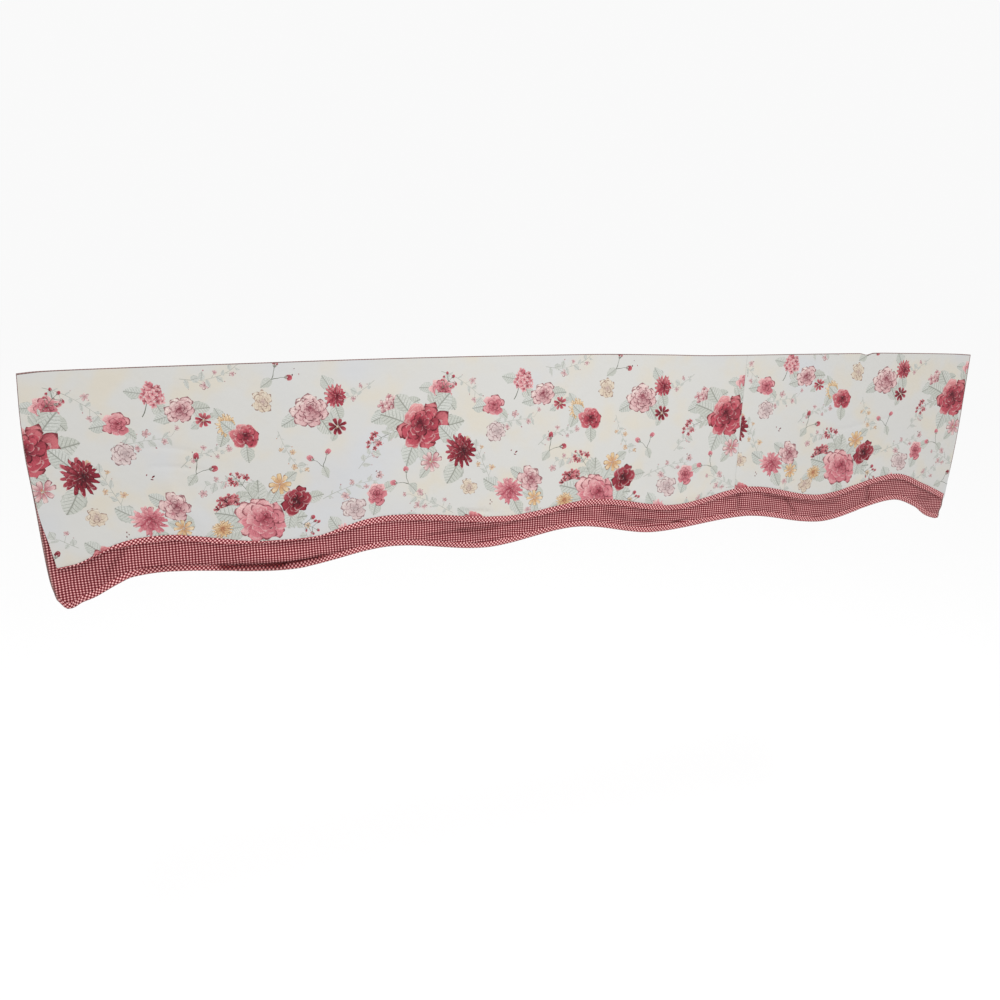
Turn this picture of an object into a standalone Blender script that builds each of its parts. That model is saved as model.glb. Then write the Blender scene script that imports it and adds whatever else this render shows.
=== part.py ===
"""A two-layer window valance with a scalloped hem.

A floral overlay, sewn from two widths of cloth, hangs in front of a checked underlay. Each wavy
hem is wrapped in its own bias-cut tape. The front faces -Y, +X runs to the right, +Z is up, and
the origin is the middle of the top edge.
"""

from collections import namedtuple
from math import cos, hypot, pi, sin

import bmesh
import bpy
import numpy as np

# Driving sizes, in metres. "Along" runs from the left end to the right end, and "drop" runs
# down from the highest point of the top edge.
WIDTH = 2.032
CLOTH = 0.001  # thickness of one layer of cotton
GAP = 0.0007  # clearance between touching pieces
TAPE = 0.001  # thickness of one leaf of binding
LEAF = 0.0135  # height of a leaf of binding, from the tape's fold
TAPE_OFFSET = CLOTH / 2 + GAP + TAPE / 2  # from the middle of the cloth to the middle of a leaf
EDGE_IN = TAPE_OFFSET + TAPE / 2  # the cloth's raw edge stops this far above the tape's fold
SEAM = 1.404  # where the overlay's two widths meet
OVERLAY_INSET = 0.0015  # the underlay shows past the overlay's top and side edges
TOP_LIFT = 0.0016  # the overlay hangs this far in front of the underlay at the top

Row = namedtuple("Row", "along value")
Span = namedtuple("Span", "first last left_lean right_lean")
Swell = namedtuple("Swell", "along drop half_length half_height forward")
Crease = namedtuple("Crease", "along rise to_along to_rise half_width back")

# Ends of the two layers at their hems, and how far each end leans per metre of height.
UNDERLAY_SPAN = Span(0.0095, 2.026, -0.22, 0.05)
OVERLAY_SPAN = Span(0.0145, 2.0245, -0.12, 0.05)

# Drop of the top edge: it bows up in the middle and has one small dent near the right.
TOP_EDGE = (
    Row(0.000, 0.0170),
    Row(0.040, 0.0127),
    Row(0.110, 0.0104),
    Row(0.343, 0.0060),
    Row(0.691, 0.0008),
    Row(0.860, 0.0000),
    Row(1.020, 0.0000),
    Row(1.206, 0.0037),
    Row(1.322, 0.0071),
    Row(1.640, 0.0080),
    Row(1.705, 0.0085),
    Row(1.724, 0.0122),
    Row(1.744, 0.0082),
    Row(1.837, 0.0100),
    Row(1.981, 0.0140),
    Row(2.034, 0.0175),
)

# Drop of each bound hem, with a row for each crest, trough and tail.
UNDERLAY_HEM = (
    Row(0.0095, 0.4275),
    Row(0.014, 0.4325),
    Row(0.021, 0.4375),
    Row(0.030, 0.4400),
    Row(0.070, 0.4265),
    Row(0.112, 0.4020),
    Row(0.140, 0.3905),
    Row(0.185, 0.3865),
    Row(0.415, 0.4060),
    Row(0.618, 0.3755),
    Row(0.815, 0.3985),
    Row(1.020, 0.3700),
    Row(1.212, 0.3995),
    Row(1.440, 0.3800),
    Row(1.660, 0.4100),
    Row(1.868, 0.3710),
    Row(1.940, 0.3930),
    Row(1.980, 0.4200),
    Row(2.014, 0.4300),
    Row(2.026, 0.4270),
)
OVERLAY_HEM = (
    Row(0.0145, 0.3650),
    Row(0.050, 0.3600),
    Row(0.090, 0.3430),
    Row(0.115, 0.3350),
    Row(0.200, 0.3285),
    Row(0.335, 0.3475),
    Row(0.440, 0.3485),
    Row(0.618, 0.3240),
    Row(0.860, 0.3455),
    Row(1.052, 0.3210),
    Row(1.252, 0.3500),
    Row(1.440, 0.3210),
    Row(1.645, 0.3530),
    Row(1.856, 0.3190),
    Row(1.955, 0.3540),
    Row(2.0245, 0.3810),
)

# Height of the overlay tape's front leaf: where the hem rolls back, only a thin line of it shows.
OVERLAY_FRONT_LEAF = (
    Row(0.000, 0.0040),
    Row(0.095, 0.0040),
    Row(0.120, 0.0090),
    Row(0.150, 0.0125),
    Row(0.300, 0.0115),
    Row(0.345, 0.0070),
    Row(0.375, 0.0045),
    Row(0.470, 0.0045),
    Row(0.530, 0.0105),
    Row(0.570, LEAF),
    Row(WIDTH, LEAF),
)

# How far the overlay's hem stands in front of the underlay: most where it rolls back.
HEM_LIFT = (
    Row(0.000, 0.0062),
    Row(0.095, 0.0058),
    Row(0.170, 0.0042),
    Row(0.330, 0.0042),
    Row(0.420, 0.0060),
    Row(0.560, 0.0042),
    Row(1.230, 0.0048),
    Row(1.440, 0.0040),
    Row(1.660, 0.0048),
    Row(1.860, 0.0040),
    Row(WIDTH, 0.0052),
)

# Side edges of the underlay and left edge of the overlay: rows of drop and along.
LEFT_EDGE = (
    Row(0.017, -0.0005),
    Row(0.100, -0.0055),
    Row(0.150, -0.0065),
    Row(0.228, -0.0035),
    Row(0.320, -0.0010),
    Row(0.380, 0.0020),
    Row(0.4275, 0.0095),
)
OVERLAY_LEFT_EDGE = (
    Row(0.017, 0.0010),
    Row(0.100, -0.0040),
    Row(0.150, -0.0045),
    Row(0.220, 0.0000),
    Row(0.270, 0.0050),
    Row(0.320, 0.0115),
    Row(0.365, 0.0145),
)
RIGHT_EDGE = (
    Row(0.0175, 2.0335),
    Row(0.120, 2.0360),
    Row(0.215, 2.0370),
    Row(0.320, 2.0335),
    Row(0.427, 2.0260),
)

# Broad swells that both layers hang in.
SWELLS = (
    Swell(0.060, 0.380, 0.080, 0.070, 0.0030),
    Swell(0.250, 0.270, 0.090, 0.120, 0.0025),
    Swell(0.430, 0.330, 0.110, 0.110, -0.0025),
    Swell(0.620, 0.240, 0.120, 0.130, 0.0028),
    Swell(0.840, 0.330, 0.120, 0.120, -0.0022),
    Swell(1.040, 0.260, 0.110, 0.130, 0.0026),
    Swell(1.230, 0.330, 0.100, 0.100, -0.0028),
    Swell(1.430, 0.230, 0.120, 0.120, 0.0024),
    Swell(1.650, 0.340, 0.120, 0.120, -0.0026),
    Swell(1.850, 0.280, 0.100, 0.120, 0.0030),
    Swell(2.000, 0.390, 0.060, 0.080, -0.0030),
)

# Creases of each layer alone, placed by their rise above the hem so that they follow it: soft
# troughs where "back" is above zero, ridges where it is below.
UNDERLAY_CREASES = (
    Crease(0.340, 0.0280, 0.430, 0.0280, 0.012, -0.0028),
    Crease(0.355, 0.0120, 0.425, 0.0120, 0.0095, 0.0032),
    Crease(0.740, 0.0400, 0.870, 0.0400, 0.007, 0.0015),
    Crease(0.830, 0.0220, 0.860, 0.0220, 0.006, 0.0022),
    Crease(1.190, 0.0220, 1.260, 0.0220, 0.007, 0.0022),
    Crease(1.555, 0.0395, 1.585, 0.0265, 0.010, 0.0018),
    Crease(1.800, 0.0415, 1.790, 0.0260, 0.009, 0.0016),
    Crease(1.955, 0.0320, 2.010, 0.0320, 0.009, -0.0022),
)
OVERLAY_CREASES = (
    Crease(0.230, 0.0850, 0.247, 0.0600, 0.012, -0.0018),
    Crease(1.170, 0.0260, 1.290, 0.0260, 0.012, -0.0020),
    Crease(1.900, 0.0715, 1.960, 0.0565, 0.014, -0.0018),
)

# Columns of each grid stand closer together at the tails than along the middle.
COLUMN_STEP = 0.026
TAIL_COLUMNS = (0.000, 0.004, 0.009, 0.015, 0.023, 0.033, 0.046, 0.062, 0.082)

# Rows of each grid: the rise above the tape's fold, then shares of the way on to the top edge.
LEAF_ROWS = (0.0, 0.5, 1.0)
UNDERLAY_RISES = (0.021, 0.031, 0.044, 0.060)
OVERLAY_RISES = (0.022, 0.036)
UNDERLAY_SHARES = (0.35, 0.70, 1.0)
OVERLAY_SHARES = (0.22, 0.45, 0.70, 0.90, 1.0)
FOLD_STEPS = 3  # facets round the tape's fold
CREASE_FADE = 0.045  # a crease dies away over this length past its ends
SWELL_START = 0.080  # the swells reach their full depth this far below the top edge
LIFT_START = 0.090  # the overlay starts to stand forward this far above its hem
SIDE_REACH = 0.090  # the side edges' bow fades out this far into the cloth
SIDE_START = 0.040  # the side edges take their bow this far above the hem
END_TURN = 0.050  # the cloth turns square to the hem this far in from each end
SLOPE_REACH = 0.020  # the hem's slope is taken over this distance each way
NUDGE = 0.001  # the slope of the face is taken over this distance
CLOTH_COLOURS = {
    "floral": (0.62, 0.55, 0.52, 1.0),
    "gingham": (0.46, 0.11, 0.14, 1.0),
}


def smooth_line(rows):
    """A curve through the rows that turns back only at a row, held level past its ends."""
    x, y = np.array(rows, float).T
    step = np.diff(x)
    rise = np.diff(y) / step
    slope = np.empty_like(y)
    slope[0], slope[-1] = rise[0], rise[-1]
    for i in range(1, len(x) - 1):
        before, after = rise[i - 1], rise[i]
        slope[i] = 2 * before * after / (before + after) if before * after > 0 else 0.0

    def value(at):
        at = min(max(at, x[0]), x[-1])
        i = min(max(int(np.searchsorted(x, at)) - 1, 0), len(step) - 1)
        t = (at - x[i]) / step[i]
        start = (1 + 2 * t) * (1 - t) ** 2 * y[i] + t * (1 - t) ** 2 * step[i] * slope[i]
        end = t * t * (3 - 2 * t) * y[i + 1] - t * t * (1 - t) * step[i] * slope[i + 1]
        return float(start + end)

    return value


def ease(t):
    """0 to 1 with level ends."""
    t = min(max(t, 0.0), 1.0)
    return t * t * (3 - 2 * t)


top_edge = smooth_line(TOP_EDGE)
underlay_hem = smooth_line(UNDERLAY_HEM)
overlay_hem = smooth_line(OVERLAY_HEM)
front_leaf = smooth_line(OVERLAY_FRONT_LEAF)
hem_lift = smooth_line(HEM_LIFT)
left_edge = smooth_line(LEFT_EDGE)
overlay_left_edge = smooth_line(OVERLAY_LEFT_EDGE)
right_edge = smooth_line(RIGHT_EDGE)


def swells(along, drop):
    """Forward reach of the broad swells, level at the top edge."""
    total = 0.0
    for s in SWELLS:
        across = (along - s.along) / s.half_length
        down = (drop - s.drop) / s.half_height
        total += s.forward * np.exp(-across * across - down * down)
    return total * ease((drop - top_edge(along)) / SWELL_START)


def creases(along, rise, rows):
    """Backward reach of a layer's own creases: each fades with the distance from its line."""
    total = 0.0
    for c in rows:
        run, climb = c.to_along - c.along, c.to_rise - c.rise
        length = hypot(run, climb)
        forth = ((along - c.along) * run + (rise - c.rise) * climb) / length
        aside = ((rise - c.rise) * run - (along - c.along) * climb) / length
        past = max(forth - length, -forth, 0.0)
        total += c.back * np.exp(-((aside / c.half_width) ** 2) - (past / CREASE_FADE) ** 2)
    return total


class Layer:
    """One layer of cloth: where its hem, ends and face lie."""

    def __init__(self, hem, span, ends, inset, creased, lifted):
        self.hem, self.span, self.ends = hem, span, ends
        self.inset, self.creased, self.lifted = inset, creased, lifted

    def lean(self, along):
        """Sideways share of the direction square to the hem, turned to follow each end."""
        before, after = self.hem(along - SLOPE_REACH), self.hem(along + SLOPE_REACH)
        slope = (after - before) / (2 * SLOPE_REACH)
        from_left, from_right = along - self.span.first, self.span.last - along
        near = self.span.left_lean if from_left < from_right else self.span.right_lean
        inside = ease(min(from_left, from_right) / END_TURN)
        return near + (slope - near) * inside

    def flat(self, along, rise, share):
        """Along and drop of a point: up from the hem by rise, then a share of the way to the top."""
        lean = self.lean(along)
        length = hypot(lean, 1.0)
        aside = rise * lean / length * (1 - share)
        d = self.hem(along) - rise / length
        d += (top_edge(along) + self.inset - d) * share
        for end, edge, inward in self.ends:
            near = ease(1 - abs(along - end) / SIDE_REACH)
            near *= ease((self.hem(along) - d) / SIDE_START)
            aside += (edge(d) + inward - end - aside) * near
        return along + aside, d

    def back(self, along, drop):
        """How far the middle of the cloth lies behind the front of the top edge."""
        reach = creases(along, self.hem(along) - drop, self.creased) - swells(along, drop)
        if self.lifted:
            near_hem = ease(1 - (self.hem(along) - drop) / LIFT_START)
            reach -= TOP_LIFT + (hem_lift(along) - TOP_LIFT) * near_hem
        return reach

    def point(self, along, rise, share=0.0, out=0.0):
        """A point of the layer in space, moved square out of its face by out."""
        a, d = self.flat(along, rise, share)
        reach = self.back(a, d)
        by_along = (self.back(a + NUDGE, d) - reach) / NUDGE
        by_drop = (self.back(a, d + NUDGE) - reach) / NUDGE
        out /= hypot(1.0, by_along, by_drop)
        return a + out * by_along - WIDTH / 2, reach - out, out * -by_drop - d


UNDERLAY = Layer(
    underlay_hem,
    UNDERLAY_SPAN,
    ((UNDERLAY_SPAN.first, left_edge, 0.0), (UNDERLAY_SPAN.last, right_edge, 0.0)),
    0.0,
    UNDERLAY_CREASES,
    False,
)
OVERLAY = Layer(
    overlay_hem,
    OVERLAY_SPAN,
    (
        (OVERLAY_SPAN.first, overlay_left_edge, 0.0),
        (OVERLAY_SPAN.last, right_edge, -OVERLAY_INSET),
    ),
    OVERLAY_INSET,
    OVERLAY_CREASES,
    True,
)


def columns(first, last, left_tail=True, right_tail=True):
    """Places along the valance, closer together at the ends that are tails."""
    starts = [first + t for t in TAIL_COLUMNS] if left_tail else [first]
    ends = [last - t for t in reversed(TAIL_COLUMNS)] if right_tail else [last]
    count = round((ends[0] - starts[-1]) / COLUMN_STEP)
    middle = np.linspace(starts[-1], ends[0], count + 1)[1:-1]
    return starts + list(middle) + ends


def leaf_rises(height):
    """Rises of a leaf's rows, from the cloth's raw edge up to the leaf's height."""
    return [EDGE_IN + (height - EDGE_IN) * row for row in LEAF_ROWS]


def bent_grid(name, across, down, place, thickness, colour, collection):
    """A grid whose vertices are moved to place(column, row), then thickened both ways."""
    bm = bmesh.new()
    bmesh.ops.create_grid(bm, x_segments=len(across) - 1, y_segments=len(down) - 1, size=0.5)
    for vert in bm.verts:
        column = across[round((vert.co.x + 0.5) * (len(across) - 1))]
        row = down[round((0.5 - vert.co.y) * (len(down) - 1))]
        vert.co = place(column, row)
    mesh = bpy.data.meshes.new(name)
    bm.to_mesh(mesh)
    bm.free()
    mesh.shade_smooth()
    mesh.materials.append(cloth_material(colour))
    obj = bpy.data.objects.new(name, mesh)
    collection.objects.link(obj)
    shell = obj.modifiers.new("Thickness", "SOLIDIFY")
    shell.thickness = thickness
    shell.offset = 0.0
    shell.use_even_offset = True
    return obj


def cloth_material(colour):
    """Plain woven cotton in the named colour."""
    name = f"{colour}_cotton"
    if name in bpy.data.materials:
        return bpy.data.materials[name]
    material = bpy.data.materials.new(name)
    material.use_nodes = True
    surface = material.node_tree.nodes["Principled BSDF"]
    surface.inputs["Base Color"].default_value = CLOTH_COLOURS[colour]
    surface.inputs["Roughness"].default_value = 0.85
    surface.inputs["Metallic"].default_value = 0.0
    return material


def sheet(name, layer, across, rises, shares, colour, collection):
    """One piece of cloth, from its top edge down to its raw edge inside the tape."""
    margin = leaf_rises(LEAF)
    down = [(rises[-1], share) for share in reversed(shares)]
    down += [(rise, 0.0) for rise in reversed(margin + list(rises))]

    def place(column, row):
        rise, share = row
        return layer.point(column, rise, share)

    return bent_grid(name, across, down, place, CLOTH, colour, collection)


def binding(name, layer, across, height, collection):
    """A tape folded over the raw edge: a front leaf, the fold below the edge, and a back leaf."""
    down = [("front", row) for row in reversed(LEAF_ROWS)]
    down += [("fold", pi * step / FOLD_STEPS) for step in range(1, FOLD_STEPS)]
    down += [("back", row) for row in LEAF_ROWS]

    def place(column, row):
        part, at = row
        if part == "fold":
            return layer.point(column, EDGE_IN - TAPE_OFFSET * sin(at), out=TAPE_OFFSET * cos(at))
        tall = height(column) if part == "front" else LEAF
        rise = EDGE_IN + (tall - EDGE_IN) * at
        return layer.point(column, rise, out=TAPE_OFFSET if part == "front" else -TAPE_OFFSET)

    return bent_grid(name, across, down, place, TAPE, "gingham", collection)


def build():
    for obj in list(bpy.data.objects):
        bpy.data.objects.remove(obj, do_unlink=True)
    valance = bpy.data.collections.new("window_valance")
    bpy.context.scene.collection.children.link(valance)

    whole = columns(UNDERLAY_SPAN.first, UNDERLAY_SPAN.last)
    left = columns(OVERLAY_SPAN.first, SEAM, right_tail=False)
    right = columns(SEAM, OVERLAY_SPAN.last, left_tail=False)
    sheet("gingham_underlay", UNDERLAY, whole, UNDERLAY_RISES, UNDERLAY_SHARES, "gingham", valance)
    binding("underlay_binding", UNDERLAY, whole, lambda along: LEAF, valance)
    for name, across in (
        ("floral_panel_left", left[:-1] + [SEAM - GAP / 2]),
        ("floral_panel_right", [SEAM + GAP / 2] + right[1:]),
    ):
        sheet(name, OVERLAY, across, OVERLAY_RISES, OVERLAY_SHARES, "floral", valance)
    binding("overlay_binding", OVERLAY, left + right[1:], front_leaf, valance)


build()
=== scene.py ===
# %% [markdown]
# # A two-layer window valance
#
# A valance is a short curtain that hides the top of a window. This one is two flat layers of
# cotton: a printed floral overlay, and behind it a longer underlay in a small woven check, whose
# lower border shows below the overlay. Both hems are cut in waves and wrapped in bias tape.
#
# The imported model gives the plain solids. Here each of them gets a finer sheet in the same place,
# with its creases, its weave and its print.

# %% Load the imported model
import random
from collections import namedtuple
from math import ceil, cos, hypot, pi, radians, sin

import bmesh
import bpy
import numpy as np
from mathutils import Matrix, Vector
from mathutils.geometry import delaunay_2d_cdt


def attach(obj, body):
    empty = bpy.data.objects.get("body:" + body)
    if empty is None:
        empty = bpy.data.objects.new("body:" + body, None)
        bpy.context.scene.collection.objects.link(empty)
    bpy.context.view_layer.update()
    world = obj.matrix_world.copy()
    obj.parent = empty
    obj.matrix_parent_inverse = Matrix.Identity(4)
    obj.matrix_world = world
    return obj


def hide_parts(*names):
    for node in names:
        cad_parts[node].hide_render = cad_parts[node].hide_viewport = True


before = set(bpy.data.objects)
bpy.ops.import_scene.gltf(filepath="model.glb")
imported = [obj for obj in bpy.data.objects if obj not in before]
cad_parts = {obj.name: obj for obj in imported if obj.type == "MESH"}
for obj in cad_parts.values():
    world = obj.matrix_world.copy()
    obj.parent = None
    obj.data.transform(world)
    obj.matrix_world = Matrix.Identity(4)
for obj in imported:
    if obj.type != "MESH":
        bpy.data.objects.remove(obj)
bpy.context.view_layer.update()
print("nodes:", sorted(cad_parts))

# %% [markdown]
# ## Sizes
#
# A place on the valance is given by two lengths. "Along" runs from the left end to the right end,
# and "drop" runs down from the highest point of the top edge. The front faces -Y. The top edge
# and the lifts are those of the solids. The hems and the side edges are drawn more finely here,
# within a few millimetres of theirs, so that each sheet lies where its solid is.

# %% Driving sizes and outlines, in metres
WIDTH = 2.032
SEAM = 1.404  # where the overlay's two widths of cloth meet
OVERLAY_INSET = 0.0015  # the overlay's top edge lies this far below the underlay's
RIGHT_INSET = 0.0035  # and its right edge this far inside the underlay's
TOP_LIFT = 0.0016  # the overlay hangs this far in front of the underlay at the top
LEAF = 0.0135  # height of a leaf of binding, from the tape's fold
COTTON = 0.0006  # thickness of one layer of cloth
TAPE = 0.0006  # thickness of one leaf of tape
TAPE_OFFSET = 0.0009  # from the middle of the cloth to the middle of a leaf of tape
RAW_EDGE = 0.0022  # the cloth's raw edge stops this far above the tape's fold

Row = namedtuple("Row", "along value")
Span = namedtuple("Span", "first last left_lean right_lean")
Swell = namedtuple("Swell", "along drop half_length half_height forward")
Crease = namedtuple("Crease", "along rise to_along to_rise half_width back")

UNDERLAY_SPAN = Span(0.0095, 2.0265, -0.22, 0.05)
OVERLAY_SPAN = Span(0.0185, 2.0245, -0.12, 0.05)

TOP_EDGE = (
    Row(0.000, 0.0170),
    Row(0.040, 0.0127),
    Row(0.110, 0.0104),
    Row(0.343, 0.0060),
    Row(0.691, 0.0008),
    Row(0.860, 0.0000),
    Row(1.020, 0.0000),
    Row(1.206, 0.0037),
    Row(1.322, 0.0071),
    Row(1.640, 0.0080),
    Row(1.705, 0.0085),
    Row(1.724, 0.0122),
    Row(1.744, 0.0082),
    Row(1.837, 0.0100),
    Row(1.981, 0.0140),
    Row(2.034, 0.0175),
)
UNDERLAY_HEM = (
    Row(0.0095, 0.4232),
    Row(0.0125, 0.4277),
    Row(0.017, 0.4347),
    Row(0.021, 0.4402),
    Row(0.026, 0.4427),
    Row(0.032, 0.4419),
    Row(0.050, 0.4324),
    Row(0.070, 0.4253),
    Row(0.112, 0.4035),
    Row(0.140, 0.3922),
    Row(0.185, 0.3884),
    Row(0.415, 0.4070),
    Row(0.618, 0.3771),
    Row(0.815, 0.3990),
    Row(1.020, 0.3700),
    Row(1.212, 0.3993),
    Row(1.440, 0.3800),
    Row(1.660, 0.4114),
    Row(1.868, 0.3710),
    Row(1.940, 0.3940),
    Row(1.980, 0.4196),
    Row(2.005, 0.4294),
    Row(2.020, 0.4325),
    Row(2.0265, 0.4310),
)
OVERLAY_HEM = (
    Row(0.0185, 0.3634),
    Row(0.050, 0.3583),
    Row(0.090, 0.3412),
    Row(0.115, 0.3331),
    Row(0.200, 0.3263),
    Row(0.335, 0.3453),
    Row(0.440, 0.3469),
    Row(0.618, 0.3222),
    Row(0.860, 0.3441),
    Row(1.052, 0.3210),
    Row(1.252, 0.3495),
    Row(1.440, 0.3200),
    Row(1.645, 0.3538),
    Row(1.856, 0.3150),
    Row(1.955, 0.3485),
    Row(2.0245, 0.3788),
)

# Height of the overlay tape's front leaf: where the hem rolls back, only a thin line of it shows.
OVERLAY_FRONT_LEAF = (
    Row(0.000, 0.0040),
    Row(0.095, 0.0040),
    Row(0.120, 0.0090),
    Row(0.150, 0.0125),
    Row(0.300, 0.0115),
    Row(0.345, 0.0070),
    Row(0.375, 0.0045),
    Row(0.470, 0.0045),
    Row(0.530, 0.0105),
    Row(0.570, LEAF),
    Row(WIDTH, LEAF),
)

# How far the overlay's hem stands in front of the underlay: most where it rolls back.
HEM_LIFT = (
    Row(0.000, 0.0062),
    Row(0.095, 0.0058),
    Row(0.170, 0.0042),
    Row(0.330, 0.0042),
    Row(0.420, 0.0060),
    Row(0.560, 0.0042),
    Row(1.230, 0.0048),
    Row(1.440, 0.0040),
    Row(1.660, 0.0048),
    Row(1.860, 0.0040),
    Row(WIDTH, 0.0052),
)

# Side edges: rows of drop and along.
LEFT_EDGE = (
    Row(0.017, -0.0005),
    Row(0.100, -0.0055),
    Row(0.150, -0.0065),
    Row(0.228, -0.0035),
    Row(0.320, -0.0010),
    Row(0.380, 0.0020),
    Row(0.4275, 0.0095),
)
OVERLAY_LEFT_EDGE = (
    Row(0.017, 0.0010),
    Row(0.100, -0.0040),
    Row(0.150, -0.0045),
    Row(0.215, -0.0020),
    Row(0.270, 0.0022),
    Row(0.315, 0.0106),
    Row(0.350, 0.0168),
    Row(0.365, 0.0190),
)
RIGHT_EDGE = (
    Row(0.0175, 2.0340),
    Row(0.120, 2.0367),
    Row(0.215, 2.0386),
    Row(0.320, 2.0364),
    Row(0.380, 2.0332),
    Row(0.431, 2.0265),
)
print("rows in the two hems:", len(UNDERLAY_HEM), len(OVERLAY_HEM))

# %% [markdown]
# ## The camera
#
# The camera stands left of the middle, a little above the top edge, and looks down to the right,
# so that the left end is near and the right end is far. It comes first, because everything else
# is judged through it.

# %% Camera
CAMERA_AT = (-0.657, -1.491, 0.1693)
CAMERA_TURN = (73.467, -1.021, -17.741)  # degrees about X, Y and Z
CAMERA_LENS, CAMERA_SENSOR = 28.44, 36.0  # millimetres


def add_camera():
    data = bpy.data.cameras.new("camera")
    data.lens = CAMERA_LENS
    data.sensor_width = CAMERA_SENSOR
    camera = bpy.data.objects.new("camera", data)
    camera.location = CAMERA_AT
    camera.rotation_euler = [radians(turn) for turn in CAMERA_TURN]
    bpy.context.scene.collection.objects.link(camera)
    bpy.context.scene.camera = camera
    return camera


camera = add_camera()
print("camera at", tuple(round(x, 3) for x in camera.location))

# %% [markdown]
# ## Smooth lines through a few rows
#
# A wavy hem needs a curve that passes through its crests and troughs and doesn't overshoot them.
# A monotone cubic does that: the slope at a row is zero where the line turns back, and between
# rows each stretch is one cubic. It works on whole arrays, so that a sheet of many thousand
# points is placed at once.

# %% Curves


def smooth_line(rows):
    """A curve through the rows that turns back only at a row, held level past its ends."""
    x, y = np.array(rows, float).T
    step = np.diff(x)
    rise = np.diff(y) / step
    slope = np.zeros_like(y)
    slope[0], slope[-1] = rise[0], rise[-1]
    before, after = rise[:-1], rise[1:]
    onward = before * after > 0
    slope[1:-1][onward] = (2 * before * after)[onward] / (before + after)[onward]

    def value(at):
        at = np.clip(at, x[0], x[-1])
        i = np.clip(np.searchsorted(x, at) - 1, 0, len(step) - 1)
        t = (at - x[i]) / step[i]
        start = (1 + 2 * t) * (1 - t) ** 2 * y[i] + t * (1 - t) ** 2 * step[i] * slope[i]
        end = t * t * (3 - 2 * t) * y[i + 1] - t * t * (1 - t) * step[i] * slope[i + 1]
        return start + end

    return value


def ease(t):
    """0 to 1 with level ends."""
    t = np.clip(t, 0.0, 1.0)
    return t * t * (3 - 2 * t)


top_edge = smooth_line(TOP_EDGE)
underlay_hem = smooth_line(UNDERLAY_HEM)
overlay_hem = smooth_line(OVERLAY_HEM)
front_leaf = smooth_line(OVERLAY_FRONT_LEAF)
hem_lift = smooth_line(HEM_LIFT)
left_edge = smooth_line(LEFT_EDGE)
overlay_left_edge = smooth_line(OVERLAY_LEFT_EDGE)
right_edge = smooth_line(RIGHT_EDGE)
print("hems at the middle:", underlay_hem(WIDTH / 2).round(4), overlay_hem(WIDTH / 2).round(4))

# %% [markdown]
# ## How the cloth hangs
#
# Flat cotton never hangs quite flat. Both layers share broad, shallow swells. On top of them each
# layer has creases of its own: soft troughs or ridges along a short line. A crease is placed by
# its rise above the hem, so that it follows the wave. The swells and the broad creases are those
# of the solids, and the fine creases are added here, because they only show from near.

# %% Swells and creases
SWELLS = (
    Swell(0.060, 0.380, 0.080, 0.070, 0.0030),
    Swell(0.250, 0.270, 0.090, 0.120, 0.0025),
    Swell(0.430, 0.330, 0.110, 0.110, -0.0025),
    Swell(0.620, 0.240, 0.120, 0.130, 0.0028),
    Swell(0.840, 0.330, 0.120, 0.120, -0.0022),
    Swell(1.040, 0.260, 0.110, 0.130, 0.0026),
    Swell(1.230, 0.330, 0.100, 0.100, -0.0028),
    Swell(1.430, 0.230, 0.120, 0.120, 0.0024),
    Swell(1.650, 0.340, 0.120, 0.120, -0.0026),
    Swell(1.850, 0.280, 0.100, 0.120, 0.0030),
    Swell(2.000, 0.390, 0.060, 0.080, -0.0030),
)
UNDERLAY_CREASES = (
    Crease(0.340, 0.0280, 0.430, 0.0280, 0.012, -0.0028),
    Crease(0.355, 0.0120, 0.425, 0.0120, 0.0095, 0.0032),
    Crease(0.740, 0.0400, 0.870, 0.0400, 0.007, 0.0015),
    Crease(0.830, 0.0220, 0.860, 0.0220, 0.006, 0.0022),
    Crease(1.190, 0.0220, 1.260, 0.0220, 0.007, 0.0022),
    Crease(1.555, 0.0395, 1.585, 0.0265, 0.010, 0.0018),
    Crease(1.800, 0.0415, 1.790, 0.0260, 0.009, 0.0016),
    Crease(1.955, 0.0320, 2.010, 0.0320, 0.009, -0.0022),
)
UNDERLAY_FINE_CREASES = (
    Crease(0.220, 0.0120, 0.325, 0.0100, 0.0035, 0.0020),
    Crease(0.325, 0.0098, 0.410, 0.0112, 0.0048, 0.0046),
    Crease(0.410, 0.0125, 0.475, 0.0165, 0.0030, 0.0034),
    Crease(0.330, 0.0010, 0.440, 0.0010, 0.0040, -0.0022),
    Crease(0.705, 0.0260, 0.775, 0.0400, 0.0036, 0.0018),
    Crease(0.765, 0.0385, 0.860, 0.0440, 0.0046, 0.0020),
    Crease(0.798, 0.0165, 0.850, 0.0205, 0.0024, -0.0016),
    Crease(0.790, 0.0300, 0.900, 0.0240, 0.0040, 0.0016),
    Crease(1.168, 0.0275, 1.202, 0.0290, 0.0022, 0.0024),
    Crease(1.120, 0.0235, 1.300, 0.0160, 0.0028, 0.0016),
    Crease(1.258, 0.0168, 1.288, 0.0187, 0.0022, 0.0024),
    Crease(1.150, 0.0195, 1.240, 0.0345, 0.0030, -0.0014),
    Crease(1.500, 0.0530, 1.700, 0.0420, 0.0032, 0.0016),
    Crease(1.554, 0.0480, 1.582, 0.0250, 0.0028, 0.0018),
    Crease(1.788, 0.0500, 1.794, 0.0180, 0.0036, 0.0022),
    Crease(1.420, 0.0560, 1.425, 0.0300, 0.0034, 0.0014),
    Crease(0.070, 0.0300, 0.120, 0.0420, 0.0030, 0.0012),
    Crease(0.985, 0.0450, 1.000, 0.0180, 0.0030, 0.0013),
    Crease(1.050, 0.0480, 1.048, 0.0200, 0.0030, 0.0013),
    Crease(1.950, 0.0330, 1.985, 0.0450, 0.0030, -0.0014),
)
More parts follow.
